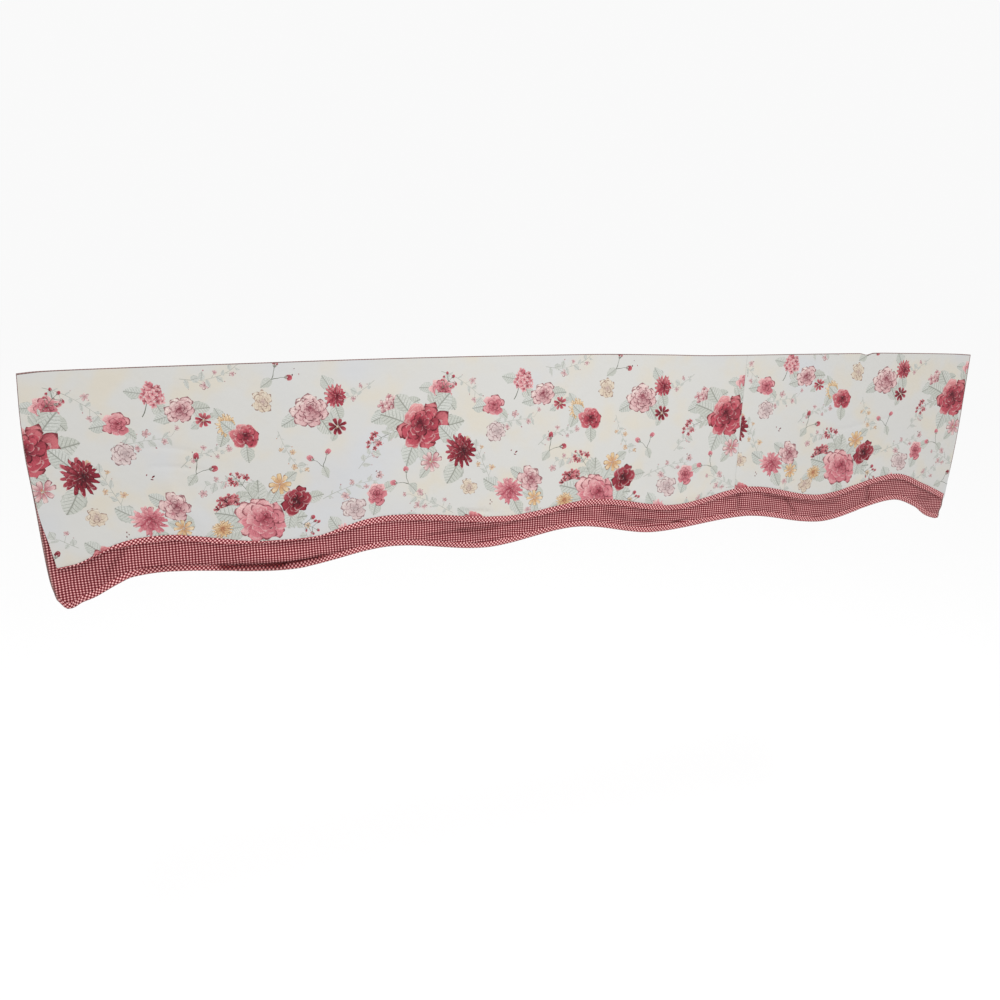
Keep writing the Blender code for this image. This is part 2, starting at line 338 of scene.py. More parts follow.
# Painted shade in the folds that are pressed together so far that their cloth lies in shade: rows as
# above, the last number being the share of the light that the painted shade takes away.
UNDERLAY_SHADE = (
    Crease(0.160, 0.0110, 0.300, 0.0100, 0.0050, 0.45),
    Crease(0.300, 0.0090, 0.395, 0.0102, 0.0062, 1.00),
    Crease(0.385, 0.0108, 0.435, 0.0146, 0.0040, 0.85),
    Crease(0.435, 0.0146, 0.478, 0.0132, 0.0026, 0.80),
    Crease(0.405, 0.0072, 0.465, 0.0086, 0.0040, 0.35),
    Crease(0.475, 0.0160, 0.520, 0.0150, 0.0026, 0.45),
    Crease(0.700, 0.0270, 0.755, 0.0380, 0.0040, 0.40),
    Crease(0.770, 0.0375, 0.835, 0.0430, 0.0078, 0.46),
    Crease(0.800, 0.0135, 0.850, 0.0185, 0.0016, 0.45),
    Crease(0.868, 0.0450, 0.900, 0.0470, 0.0030, 0.35),
    Crease(1.000, 0.0400, 1.050, 0.0300, 0.0080, 0.25),
    Crease(1.090, 0.0380, 1.130, 0.0340, 0.0080, 0.35),
    Crease(1.174, 0.0275, 1.197, 0.0290, 0.0017, 0.90),
    Crease(1.263, 0.0170, 1.283, 0.0185, 0.0017, 0.90),
    Crease(1.390, 0.0480, 1.420, 0.0540, 0.0050, 0.35),
    Crease(1.556, 0.0480, 1.582, 0.0250, 0.0045, 0.45),
    Crease(1.500, 0.0520, 1.700, 0.0440, 0.0050, 0.30),
    Crease(1.786, 0.0520, 1.794, 0.0180, 0.0075, 0.36),
    Crease(1.420, 0.0560, 1.425, 0.0300, 0.0055, 0.30),
    Crease(0.100, 0.0350, 0.125, 0.0560, 0.0070, 0.35),
    Crease(1.950, 0.0330, 1.985, 0.0450, 0.0060, 0.35),
)
SHADE_FADE = 0.012  # the shade dies away over this length past a fold's ends
EDGE_REACH = 0.0034  # how far the painted shade along the free edges reaches in
HEM_NARROWING = 1.6  # along the hem the painted shade is narrower by this much
OVERLAY_CREASES = (
    Crease(0.230, 0.0850, 0.247, 0.0600, 0.012, -0.0018),
    Crease(1.170, 0.0260, 1.290, 0.0260, 0.012, -0.0020),
    Crease(1.900, 0.0715, 1.960, 0.0565, 0.014, -0.0018),
)
OVERLAY_FINE_CREASES = (
    Crease(0.225, 0.0790, 0.241, 0.0220, 0.0060, -0.0030),
    Crease(0.200, 0.1400, 0.270, 0.1400, 0.0045, 0.0010),
    Crease(0.200, 0.1750, 0.270, 0.1720, 0.0045, 0.0009),
    Crease(1.570, 0.1740, 1.810, 0.1560, 0.0050, 0.0010),
    Crease(0.690, 0.2300, 0.700, 0.0600, 0.0065, 0.0010),
    Crease(1.090, 0.0420, 1.170, 0.0300, 0.0055, 0.0012),
    Crease(0.780, 0.0240, 0.812, 0.0230, 0.0050, 0.0024),
)
CREASE_FADE = 0.045  # a broad crease dies away over this length past its ends
FINE_FADE = 0.014  # and a fine one over this
SWELL_START = 0.080  # the swells reach their full depth this far below the top edge
LIFT_START = 0.090  # the overlay starts to stand forward this far above its hem
SIDE_REACH = 0.090  # the side edges' bow fades out this far into the cloth
SIDE_START = 0.040  # the side edges take their bow this far above the hem
END_TURN = 0.050  # the cloth turns square to the hem this far in from each end
SLOPE_REACH = 0.020  # the hem's slope is taken over this distance each way
NUDGE = 0.001  # the slope of the face is taken over this distance
print("creases of the underlay:", len(UNDERLAY_CREASES + UNDERLAY_FINE_CREASES))
print("creases of the overlay:", len(OVERLAY_CREASES + OVERLAY_FINE_CREASES))

# %% [markdown]
# Both kinds are soft bells: a swell is an oval one, and a crease a long one with its line along the
# middle. Their sum is how far the cloth stands forward or back at a place.

# %% The reach of the swells and the creases


def swells(along, drop):
    """Forward reach of the broad swells, level at the top edge."""
    total = np.zeros(np.broadcast(along, drop).shape)
    for s in SWELLS:
        across = (along - s.along) / s.half_length
        down = (drop - s.drop) / s.half_height
        total += s.forward * np.exp(-across * across - down * down)
    return total * ease((drop - top_edge(along)) / SWELL_START)


def creases(along, rise, rows, fade):
    """Backward reach of a layer's own creases: each fades with the distance from its line."""
    total = np.zeros(np.broadcast(along, rise).shape)
    for c in rows:
        run, climb = c.to_along - c.along, c.to_rise - c.rise
        length = hypot(run, climb)
        forth = ((along - c.along) * run + (rise - c.rise) * climb) / length
        aside = ((rise - c.rise) * run - (along - c.along) * climb) / length
        past = np.maximum(np.maximum(forth - length, -forth), 0.0)
        total += c.back * np.exp(-((aside / c.half_width) ** 2) - (past / fade) ** 2)
    return total


row_of_places = np.linspace(0, WIDTH, 200)
reach = swells(row_of_places, 0.3)
print("swells along one row, in metres:", reach.min().round(4), "to", reach.max().round(4))

# %% [markdown]
# ## One layer of cloth
#
# A layer knows its hem, its ends and its face. "flat" turns a rise above the hem, and a share of
# the way on to the top edge, into along and drop. "stand" puts such a place in space, and moves
# it square out of the cloth's face, which is how the tapes are laid on it.

# %% Layers


class Layer:
    """One layer of cloth: where its hem, ends and face lie.

    Each end is a place along, the line of its side edge, and how far inside that line it lies.
    """

    def __init__(self, hem, span, ends, inset, broad, fine, lifted):
        self.hem, self.span, self.ends = hem, span, ends
        self.inset, self.broad, self.fine, self.lifted = inset, broad, fine, lifted

    def lean(self, along):
        """Sideways share of the direction square to the hem, turned to follow each end."""
        before, after = self.hem(along - SLOPE_REACH), self.hem(along + SLOPE_REACH)
        slope = (after - before) / (2 * SLOPE_REACH)
        from_left, from_right = along - self.span.first, self.span.last - along
        near = np.where(from_left < from_right, self.span.left_lean, self.span.right_lean)
        inside = ease(np.minimum(from_left, from_right) / END_TURN)
        return near + (slope - near) * inside

    def flat(self, along, rise, share=0.0):
        """Along and drop of a point: up from the hem by rise, then a share of the way to the top."""
        lean = self.lean(along)
        length = np.hypot(lean, 1.0)
        aside = rise * lean / length * (1 - share)
        d = self.hem(along) - rise / length
        d = d + (top_edge(along) + self.inset - d) * share
        for end, edge, inward in self.ends:
            near = ease(1 - abs(along - end) / SIDE_REACH)
            near = near * ease((self.hem(along) - d) / SIDE_START)
            aside = aside + (edge(d) + inward - end - aside) * near
        return along + aside, d

    def back(self, along, drop):
        """How far the middle of the cloth lies behind the front of the top edge."""
        rise = self.hem(along) - drop
        reach = creases(along, rise, self.broad, CREASE_FADE) - swells(along, drop)
        reach = reach + creases(along, rise, self.fine, FINE_FADE)
        if self.lifted:
            near_hem = ease(1 - rise / LIFT_START)
            reach = reach - TOP_LIFT - (hem_lift(along) - TOP_LIFT) * near_hem
        return reach

    def facing(self, along, drop):
        """Directions square out of the cloth's face, towards the room."""
        reach = self.back(along, drop)
        by_along = (self.back(along + NUDGE, drop) - reach) / NUDGE
        by_drop = (self.back(along, drop + NUDGE) - reach) / NUDGE
        square = np.stack([by_along, -np.ones_like(reach), -by_drop], axis=-1)
        return square / np.linalg.norm(square, axis=-1, keepdims=True)

    def stand(self, along, drop, out=0.0):
        """Points in space, moved square out of the cloth's face by out."""
        middle = np.stack([along - WIDTH / 2, self.back(along, drop), -drop], axis=-1)
        return middle + self.facing(along, drop) * np.expand_dims(out, -1)


UNDERLAY = Layer(
    hem=underlay_hem,
    span=UNDERLAY_SPAN,
    ends=((UNDERLAY_SPAN.first, left_edge, 0.0), (UNDERLAY_SPAN.last, right_edge, 0.0)),
    inset=0.0,
    broad=UNDERLAY_CREASES,
    fine=UNDERLAY_FINE_CREASES,
    lifted=False,
)
OVERLAY = Layer(
    hem=overlay_hem,
    span=OVERLAY_SPAN,
    ends=(
        (OVERLAY_SPAN.first, overlay_left_edge, 0.0),
        (OVERLAY_SPAN.last, right_edge, -RIGHT_INSET),
    ),
    inset=OVERLAY_INSET,
    broad=OVERLAY_CREASES,
    fine=OVERLAY_FINE_CREASES,
    lifted=True,
)
for layer in (UNDERLAY, OVERLAY):
    at = np.array(WIDTH / 2)
    print("foot of a layer's face at the middle:", layer.stand(at, layer.hem(at)).round(4))

# %% [markdown]
# ## A sheet from a bent grid
#
# A woven cloth is a grid, and so is its mesh: a flat grid whose points are moved to their places.
# Solidify then gives it its thickness both ways. Each sheet carries two maps. "Cloth" is in metres
# along and across the threads, and the weave and the checks read it. "OFBake" lays the same cloth
# out in folded strips, so that a long, narrow piece fills a square picture when its colours are
# baked. Both sides of a woven cloth look alike, so they share their place in it.

# %% Grids and maps
BAKE_MARGIN = 0.005  # metres left free round each strip


def grid_mesh(name, columns, rows):
    """A flat grid as a mesh, with the column and row number of each of its points."""
    bm = bmesh.new()
    bmesh.ops.create_grid(bm, x_segments=columns - 1, y_segments=rows - 1, size=0.5)
    mesh = bpy.data.meshes.new(name)
    bm.to_mesh(mesh)
    bm.free()
    co = np.empty(len(mesh.vertices) * 3, np.float32)
    mesh.vertices.foreach_get("co", co)
    x, y = co.reshape(-1, 3)[:, 0], co.reshape(-1, 3)[:, 1]
    column = np.rint((x + 0.5) * (columns - 1)).astype(int)
    row = np.rint((0.5 - y) * (rows - 1)).astype(int)
    return mesh, column, row


def corners_of(mesh):
    """For each face corner, its vertex and its face."""
    vertex = np.empty(len(mesh.loops), np.int32)
    mesh.loops.foreach_get("vertex_index", vertex)
    sides = np.empty(len(mesh.polygons), np.int32)
    mesh.polygons.foreach_get("loop_total", sides)
    return vertex, np.repeat(np.arange(len(sides)), sides)


def add_map(mesh, name, places):
    """A UV map from one place for each face corner."""
    layer = mesh.uv_layers.new(name=name)
    layer.uv.foreach_set("vector", places.astype(np.float32).ravel())


def add_cloth_maps(mesh, along, across, strips):
    """The map in metres, and the map for baking: the length in equal strips, one under another."""
    vertex, face = corners_of(mesh)
    add_map(mesh, "Cloth", np.stack([along[vertex], across[vertex]], axis=-1))
    corners = np.bincount(face)
    middle = np.bincount(face, along[vertex]) / corners
    reach = abs(along - WIDTH / 2).max()
    first, last = WIDTH / 2 - reach, WIDTH / 2 + reach
    low, high = across.min(), across.max()
    strip_length, strip_height = (last - first) / strips, high - low + 2 * BAKE_MARGIN
    strip = np.clip(((middle - first) / strip_length).astype(int), 0, strips - 1)[face]
    side = max(strip_length + 2 * BAKE_MARGIN, strips * strip_height)
    u = (along[vertex] - first - strip * strip_length + BAKE_MARGIN) / side
    v = (strip * strip_height + across[vertex] - low + BAKE_MARGIN) / side
    add_map(mesh, "OFBake", np.stack([u, v], axis=-1))


def add_values(mesh, name, values):
    """An attribute with one number for each point."""
    attribute = mesh.attributes.new(name, "FLOAT", "POINT")
    attribute.data.foreach_set("value", values.astype(np.float32))


def add_folds(mesh, layer, along, drop):
    """Marks the painted shade: how much light each point loses in the folds, and how near it lies to a
    free edge.
    """
    shade = creases(along, layer.hem(along) - drop, UNDERLAY_SHADE, SHADE_FADE).clip(0, 1)
    to_side = np.minimum(along - left_edge(drop), right_edge(drop) - along)
    to_hem = HEM_NARROWING * (layer.hem(along) - drop)
    to_edge = np.minimum(np.minimum(drop - top_edge(along), to_side), to_hem) / EDGE_REACH
    edge = np.exp(-to_edge * to_edge)
    add_values(mesh, "Fold", shade)
    add_values(mesh, "Edge", edge)


def finish_sheet(mesh, name, points, thickness, material):
    """Places the points, thickens the sheet both ways, and hangs it on the frame."""
    mesh.vertices.foreach_set("co", points.astype(np.float32).ravel())
    mesh.update()
    mesh.shade_smooth()
    mesh.materials.append(material)
    piece = bpy.data.objects.new(name, mesh)
    bpy.context.scene.collection.objects.link(piece)
    if thickness:
        shell = piece.modifiers.new("Thickness", "SOLIDIFY")
        shell.thickness = thickness
        shell.offset = 0.0
        shell.use_even_offset = False
    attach(piece, "root")
    return piece


# %% [markdown]
# ## Colours
#
# Shaders work in linear light, but a dyer's card is easier to read in the 0 to 255 of a screen.
# This turns one into the other. The lights add up to a little more than full white paper, so the
# dyes are made darker by the same share, and then show on the screen as they are given here.

# %% Colours
LIGHT = 1.30  # brightness of a white sheet in this scene's light


def screen(red, green, blue):
    """A dye that shows as this colour, 0 to 255, under the scene's light."""
    parts = np.array([red, green, blue]) / 255
    linear = np.where(parts <= 0.04045, parts / 12.92, ((parts + 0.055) / 1.055) ** 2.4)
    return tuple(linear / LIGHT)


CHECK_PALE = screen(254, 202, 199)
CHECK_MIDDLE = screen(165, 71, 78)
CHECK_DARK = screen(84, 8, 20)
GROUND = screen(213, 212, 208)
CREAM = screen(220, 210, 190)
COOL = screen(207, 210, 217)
# Painted shade along the free edges: its colour, and how far it darkens them.
EDGE_SHADE_TONE = screen(132, 112, 106)
EDGE_SHARE = 0.85  # how far a free edge takes that tone
PAINTED_FOLD_SHADE = (0.28, 0.07, 0.08)  # share of each colour left under the painted shade deep in a fold
print("ground in linear light:", [round(float(x), 3) for x in GROUND])

# %% [markdown]
# ## Nodes
#
# A material is a graph of nodes. Written out one by one they fill pages, so this helper adds a
# node, joins its inputs and gives back its output. Its last methods make what both cottons share:
# the ribs of a plain weave, and the bump and faint sheen of cotton.

# %% Nodes of a material
YARN = 0.00042  # from one yarn to the next
SHEEN = (0.04, 0.6)  # amount and roughness of the sheen of cotton


class Nodes:
    """Adds nodes to a material, and joins them."""

    def __init__(self, name):
        self.material = bpy.data.materials.new(name)
        self.material.use_nodes = True
        self.tree = self.material.node_tree
        self.surface = self.tree.nodes["Principled BSDF"]

    def add(self, kind, inputs=(), **settings):
        node = self.tree.nodes.new(kind)
        for key, value in settings.items():
            setattr(node, key, value)
        for key, value in dict(inputs).items():
            if isinstance(value, bpy.types.NodeSocket):
                self.tree.links.new(value, node.inputs[key])
            else:
                node.inputs[key].default_value = value
        return node

    def math(self, operation, *values):
        return self.add("ShaderNodeMath", enumerate(values), operation=operation).outputs[0]

    def plus(self, first, second):
        return self.math("ADD", first, second)

    def times(self, first, second):
        return self.math("MULTIPLY", first, second)

    def attribute(self, name, output="Fac"):
        """What the mesh says under this name."""
        return self.add("ShaderNodeAttribute", attribute_name=name).outputs[output]

    def cloth_map(self):
        """The place on the cloth, in metres along and across its threads."""
        return self.add("ShaderNodeUVMap", uv_map="Cloth").outputs[0]

    def vectors(self, operation, inputs):
        return self.add("ShaderNodeVectorMath", inputs, operation=operation).outputs[0]

    def stretch(self, value, low, high, to_low=0.0, to_high=1.0, smooth=False):
        """A value from low to high, taken to to_low to to_high."""
        ends = {"From Min": low, "From Max": high, "To Min": to_low, "To Max": to_high}
        kind = "SMOOTHSTEP" if smooth else "LINEAR"
        node = self.add("ShaderNodeMapRange", {"Value": value, **ends}, interpolation_type=kind)
        return node.outputs[0]

    def noise(self, vector, scale, detail, roughness=0.5):
        inputs = {"Vector": vector, "Scale": scale, "Detail": detail, "Roughness": roughness}
        return self.add("ShaderNodeTexNoise", inputs)

    def mix(self, share, first, second, blend="MIX"):
        inputs = {0: share, 6: first, 7: second}
        return self.add("ShaderNodeMix", inputs, data_type="RGBA", blend_type=blend).outputs[2]

    def tinted(self, colour, tint):
        """A colour times another."""
        return self.mix(1.0, colour, tint, "MULTIPLY")

    def dimmed(self, colour, tone):
        """A colour times a number."""
        grey = self.add("ShaderNodeCombineColor", dict.fromkeys(range(3), tone)).outputs[0]
        return self.tinted(colour, grey)

    def woven(self, place, rib, uneven, depth):
        """Height of a plain weave: a rib over each yarn, both ways, on a soft unevenness."""
        split = self.add("ShaderNodeSeparateXYZ", {0: place}).outputs
        ribs = [self.math("SINE", self.times(split[axis], 2 * pi / YARN)) for axis in (0, 1)]
        return self.plus(self.times(self.times(*ribs), rib), self.times(uneven, depth))

    def cotton(self, colour, height, strength, roughness, specular):
        """Gives the cloth its colour, its bump and its finish, and returns the material."""
        bump = self.add("ShaderNodeBump", {"Height": height, "Strength": strength, "Distance": 1.0})
        self.tree.links.new(colour, self.surface.inputs["Base Color"])
        self.tree.links.new(bump.outputs[0], self.surface.inputs["Normal"])
        self.surface.inputs["Roughness"].default_value = roughness
        self.surface.inputs["Specular IOR Level"].default_value = specular
        self.surface.inputs["Sheen Weight"].default_value = SHEEN[0]
        self.surface.inputs["Sheen Roughness"].default_value = SHEEN[1]
        return self.material


print("materials of the packed model:", len(bpy.data.materials))

# %% [markdown]
# ## Checked cotton
#
# A small check is woven from two bands of dyed yarn, one pale and one dark red, in both
# directions. Where pale crosses pale the cloth is pale, where red crosses red it is dark, and
# where they cross each other it is a middle red. So the colour is the sum of two crossed stripes.
# The same cloth, turned by 45 degrees, makes the bias tapes. The yarns wander a little, and their
# ribs give the surface its fine bump. Deep in a fold the colour is darkened by painted shade: the
# mesh carries the attribute "Fold", which tells how much light each point loses. Along the free
# edges painted shade darkens the cloth too, by the attribute "Edge".

# %% The checked material
CHECK_ACROSS = 0.00545  # one pale and one red band, across the cloth
CHECK_DOWN = 0.00483  # and down it: the weave is a little closer that way
WANDER = 0.0042  # metres between the most that a yarn strays to one side and to the other
BAND_EDGE = (0.180, 0.240)  # from a pale band's middle to its end, and to where the red begins
CHECK_RIB = 0.00003  # height of the rib over a yarn
CHECK_UNEVEN = 0.0011  # height of the soft unevenness of the check


def check_bands(nodes, threads, bleach):
    """0 where pale yarns cross, 1 where red yarns cross, and a half where they cross each other."""
    split = nodes.add("ShaderNodeSeparateXYZ", {0: threads}).outputs
    low, high = (edge + bleach / 4 for edge in BAND_EDGE)
    bands = []
    for way, pitch in ((split[0], CHECK_ACROSS), (split[1], CHECK_DOWN)):
        wave = nodes.math("PINGPONG", nodes.math("DIVIDE", way, pitch), 0.5)
        bands.append(nodes.stretch(wave, low, high, smooth=True))
    return nodes.times(nodes.plus(*bands), 0.5)


def checked_cotton(name, turn=0.0, bleach=0.0):
    """Yarn-dyed checked cotton, its threads turned by so many degrees to the length of the piece."""
    nodes = Nodes(name)
    inputs = {"Vector": nodes.cloth_map(), "Rotation": (0, 0, radians(turn))}
    turned = nodes.add("ShaderNodeMapping", inputs).outputs[0]
    wander = nodes.noise(turned, 24.0, 3.0, 0.62).outputs["Color"]
    shift = nodes.vectors("SUBTRACT", {0: wander, 1: (0.5, 0.5, 0.5)})
    shift = nodes.vectors("SCALE", {0: shift, "Scale": WANDER})
    threads = nodes.vectors("ADD", {0: turned, 1: shift})
    ramp = nodes.add("ShaderNodeValToRGB", {0: check_bands(nodes, threads, bleach)})
    ramp.color_ramp.elements[0].color = (*CHECK_PALE, 1)
    ramp.color_ramp.elements[1].color = (*CHECK_DARK, 1)
    ramp.color_ramp.elements.new(0.5).color = (*CHECK_MIDDLE, 1)
    slubs = nodes.noise(threads, 900.0, 2.0, 0.7).outputs[0]
    slubs = nodes.stretch(slubs, 0.3, 0.7, 0.40 + bleach, 0.58 + bleach)
    fading = nodes.stretch(nodes.noise(threads, 9.0, 2.0).outputs[0], 0.3, 0.7, 0.40, 0.60)
    colour = nodes.dimmed(ramp.outputs[0], nodes.plus(slubs, fading))
    # Painted shade deep in the folds, by the attribute "Fold".
    colour = nodes.mix(nodes.attribute("Fold"), colour, nodes.tinted(colour, (*PAINTED_FOLD_SHADE, 1)))
    # Painted shade along the free edges, by the attribute "Edge".
    edge = nodes.times(nodes.attribute("Edge"), EDGE_SHARE)
    colour = nodes.mix(edge, colour, (*EDGE_SHADE_TONE, 1))
    uneven = nodes.noise(threads, 160.0, 3.0, 0.6).outputs[0]
    height = nodes.woven(threads, CHECK_RIB, uneven, CHECK_UNEVEN)
    return nodes.cotton(colour, height, strength=0.55, roughness=0.88, specular=0.25)


CHECKED_COTTON = checked_cotton("checked_cotton")
CHECKED_TAPE = checked_cotton("checked_tape", turn=45.0, bleach=0.14)
print("checks across the valance:", round(WIDTH / CHECK_ACROSS))

# %% [markdown]
# ## The underlay
#
# The underlay is one straight-grain width. Only its lower border shows in front, so its rows
# stand close together there, where the fine creases run, and far apart above, behind the overlay.

# %% The underlay
COLUMN_STEP = 0.004
BORDER_ROW = 0.002
BORDER = 0.078  # height of the finely divided border
UPPER_ROWS = 14
UPPER_FROM = 0.945  # the even rows above the border start at this share of the way up
TOP_SHARES = (1.0, 0.995, 0.9875, 0.972)  # rows a few millimetres apart, for the painted shade along the top edge
GRAIN_STRIPS = 2  # strips that the wide cloths are folded into for baking


def checked_underlay():
    columns = np.linspace(UNDERLAY_SPAN.first, UNDERLAY_SPAN.last, ceil(WIDTH / COLUMN_STEP))
    rises = np.linspace(BORDER, RAW_EDGE, round(BORDER / BORDER_ROW))
    upper = np.append(TOP_SHARES, np.linspace(UPPER_FROM, 0, UPPER_ROWS, endpoint=False))
    shares = np.append(upper, np.zeros(len(rises)))
    rises = np.append(np.full(len(upper), BORDER), rises)
    mesh, column, row = grid_mesh("gingham_cloth", len(columns), len(rises))
    along, drop = UNDERLAY.flat(columns[column], rises[row], shares[row])
    add_cloth_maps(mesh, along, -(drop - top_edge(along)), GRAIN_STRIPS)
    add_folds(mesh, UNDERLAY, along, drop)
    points = UNDERLAY.stand(along, drop)
    piece = finish_sheet(mesh, "gingham_cloth", points, COTTON, CHECKED_COTTON)
    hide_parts("gingham_underlay")
    return piece


underlay = checked_underlay()
print("underlay faces:", len(underlay.data.polygons))

# %% [markdown]
# ## The bias tapes
#
# Each raw hem is wrapped in a strip of the same check, cut at 45 degrees so that it bends round
# the waves. It runs up the front, round the edge and up the back, and is sewn through near its
# upper edges. Sewing pulls the edges flat, and between the stitches and the fold the tape stays a
# little full and puckers.

# %% The tapes
TAPE_COLUMN = 0.0025
LEAF_ROWS = (1.0, 0.93, 0.84, 0.72, 0.58, 0.42, 0.26, 0.12, 0.0)
FOLD_STEPS = 6
FULLNESS = 0.0005  # how far a leaf stands proud between its stitching and its fold
STITCHES_AT = 0.84  # share of the leaf's height where the stitching runs
PUCKER = 0.0110  # from one pucker to the next
PUCKER_DEPTH = 0.00022
PUCKER_REACH = 0.35  # the puckers die away over this share of the leaf's height
TAPE_STRIPS = 8


def tape_rows():
    """Rows across the tape: the leaf it belongs to, and its place there."""
    rows = [("front", share) for share in LEAF_ROWS]
    rows += [("fold", pi * step / FOLD_STEPS) for step in range(1, FOLD_STEPS)]
    return rows + [("back", share) for share in reversed(LEAF_ROWS)]


def pucker(along, share):
    """Small uneven waves that the sewing pulls into the tape, deepest at the stitching."""
    drift = 1.3 * np.sin(along * 61.0) + 0.9 * np.sin(along * 23.0 + 1.0)
    near = np.exp(-(((share - STITCHES_AT) / PUCKER_REACH) ** 2))
    return PUCKER_DEPTH * near * np.sin(2 * pi * along / PUCKER + drift)


def binding(name, layer, leaf_height):
    """A tape folded over the raw edge: a front leaf, the fold below the edge, and a back leaf."""
    columns = np.linspace(layer.span.first, layer.span.last, ceil(WIDTH / TAPE_COLUMN))
    rows = tape_rows()
    mesh, column, row = grid_mesh(name, len(columns), len(rows))
    along = columns[column]
    tall = leaf_height(along)
    rise, out, across = (np.zeros(len(along)) for _ in range(3))
    for index, (part, at) in enumerate(rows):
        here = row == index
        if part == "fold":
            rise[here] = RAW_EDGE - TAPE_OFFSET * sin(at)
            out[here] = TAPE_OFFSET * cos(at)
            across[here] = TAPE_OFFSET * (at - pi / 2)
            continue
        side = 1 if part == "front" else -1
        height = tall[here] if part == "front" else LEAF
        rise[here] = RAW_EDGE + (height - RAW_EDGE) * at
        full = FULLNESS * sin(pi * at) ** 2 + abs(pucker(along[here], at)) * (at < 1)
        out[here] = side * (TAPE_OFFSET + full)
        across[here] = -side * (rise[here] - RAW_EDGE + TAPE_OFFSET * pi / 2)
    a, d = layer.flat(along, rise)
    points = layer.stand(a, d, out)
    edge = layer.flat(columns, np.zeros(len(columns)))
    run = np.concatenate([[0], np.cumsum(np.hypot(np.diff(edge[0]), np.diff(edge[1])))])
    add_cloth_maps(mesh, run[column], across, TAPE_STRIPS)
    if layer is UNDERLAY:
        add_folds(mesh, layer, a, d)
    return finish_sheet(mesh, name, points, TAPE, CHECKED_TAPE), run[-1]


def full_leaf(along):
    return np.full(np.shape(along), LEAF)


underlay_tape, underlay_run = binding("lower_tape", UNDERLAY, full_leaf)
overlay_tape, overlay_run = binding("upper_tape", OVERLAY, front_leaf)
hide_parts("underlay_binding")
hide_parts("overlay_binding")
print("length of the two tapes:", round(underlay_run, 3), round(overlay_run, 3))

# %% [markdown]
# ## The printed overlay: shapes of a print
#
# A printed flower is flat shapes laid one over another: each petal and each leaf is an outline
# with a colour at its root and one at its tip. Drawing them as real outlines, and cutting the
# cloth's mesh along them, keeps every edge clean from near, where a picture would blur.
#
# The drawing lies flat, with X along the cloth and Y up from its top edge, so Y is negative. Each
# shape keeps two axes, from its root to its tip and from its middle line to its side. They give
# any point on it a place of its own, in which the ink's streaks, lips and veins are painted later.

# %% Inks
LINE, PETAL, DRAWN, LEAF_SHAPE = 0.0, 0.4, 0.6, 1.0  # kinds of shape
GOLDEN_TURN = 2.4  # from one seed to the next round an eye, so that they never line up
Shape = namedtuple("Shape", "outline root forth aside waist curl first last kind")
Dye = namedtuple("Dye", "heart root tip lip kind")  # a drawn dye has dark edges, the others pale ones
Green = namedtuple("Green", "light shade stem")

SHELL = screen(234, 206, 202)
GOLD = screen(196, 148, 92)


def new_dye(heart, root, tip, lip, kind=PETAL):
    """A dye from the screen colours of a petal's heart, root, tip and lip."""
    return Dye(screen(*heart), screen(*root), screen(*tip), screen(*lip), kind)


LEAF_GREEN = Green(screen(208, 209, 202), screen(191, 194, 184), screen(112, 116, 104))
PALE_GREEN = Green(screen(208, 210, 204), screen(195, 198, 190), screen(152, 156, 144))
CRIMSON_DYE = new_dye((74, 8, 24), (126, 28, 44), (196, 82, 96), (230, 160, 160))
WINE_DYE = new_dye((50, 6, 16), (92, 14, 28), (152, 40, 56), (198, 98, 108))
PINK_DYE = new_dye((120, 30, 46), (178, 78, 94), (218, 136, 144), (240, 200, 197))
PALE_DYE = new_dye((126, 50, 64), (184, 110, 120), (230, 196, 194), (240, 226, 218), DRAWN)
APRICOT_DYE = new_dye((150, 70, 54), (202, 150, 104), (230, 204, 160), (240, 226, 200), DRAWN)


def blend(first, last, share):
    """A colour between two others."""
    return tuple(np.array(first) + (np.array(last) - np.array(first)) * share)


def dyed(dye, share):
    """Root colour at 0 and tip colour at 1; below 0 towards the heart, above 1 towards the lip."""
    if share < 0:
        return blend(dye.root, dye.heart, min(-share * 2.5, 1.0))
    if share > 1:
        return blend(dye.tip, dye.lip, min((share - 1) * 1.6, 1.0))
    return blend(dye.root, dye.tip, share)


def unit(turn):
    return np.array([cos(turn), sin(turn)])


def changed(shapes, matrix=((1, 0), (0, 1)), to=(0, 0)):
    """Shapes turned or squeezed about their own zero point, then moved there."""
    matrix, to = np.array(matrix, float), np.array(to, float)
    return [
        s._replace(
            outline=s.outline @ matrix + to,
            root=s.root @ matrix + to,
            forth=s.forth @ matrix,
            aside=s.aside @ matrix,
        )
        for s in shapes
    ]


def paler(shapes, share):
    """The same shapes, their colours taken towards the ground."""
    return [
        s._replace(first=blend(s.first, GROUND, share), last=blend(s.last, GROUND, share))
        for s in shapes
    ]


def petal(root, turn, length, width, ends, waist=0.35, points=12, ruffle=0.0, phase=0.0, kind=PETAL):
    """A rounded petal from its root outwards, with the colours at its two ends.

    It is narrow at the root, as its waist says, and widest past the middle.
    """
    angle = np.linspace(0, 2 * pi, points, endpoint=False)
    t = (1 - np.cos(angle)) / 2
    edge = 1 + ruffle * t * np.cos(5 * angle + phase)
    across = -np.sin(angle) * (waist + (1 - waist) * t) * edge
    forth, aside = unit(turn) * length, unit(turn + pi / 2) * width / 2
    outline = root + np.outer(t * edge, forth) + np.outer(across, aside)
    return Shape(outline, np.array(root, float), forth, aside, waist, 0.0, *ends, kind)


def disc(root, turn, length, width, first, last, points):
    """A round spot of ink, such as an eye or a seed."""
    return petal(root, turn, length, width, (first, last), waist=1.0, points=points)


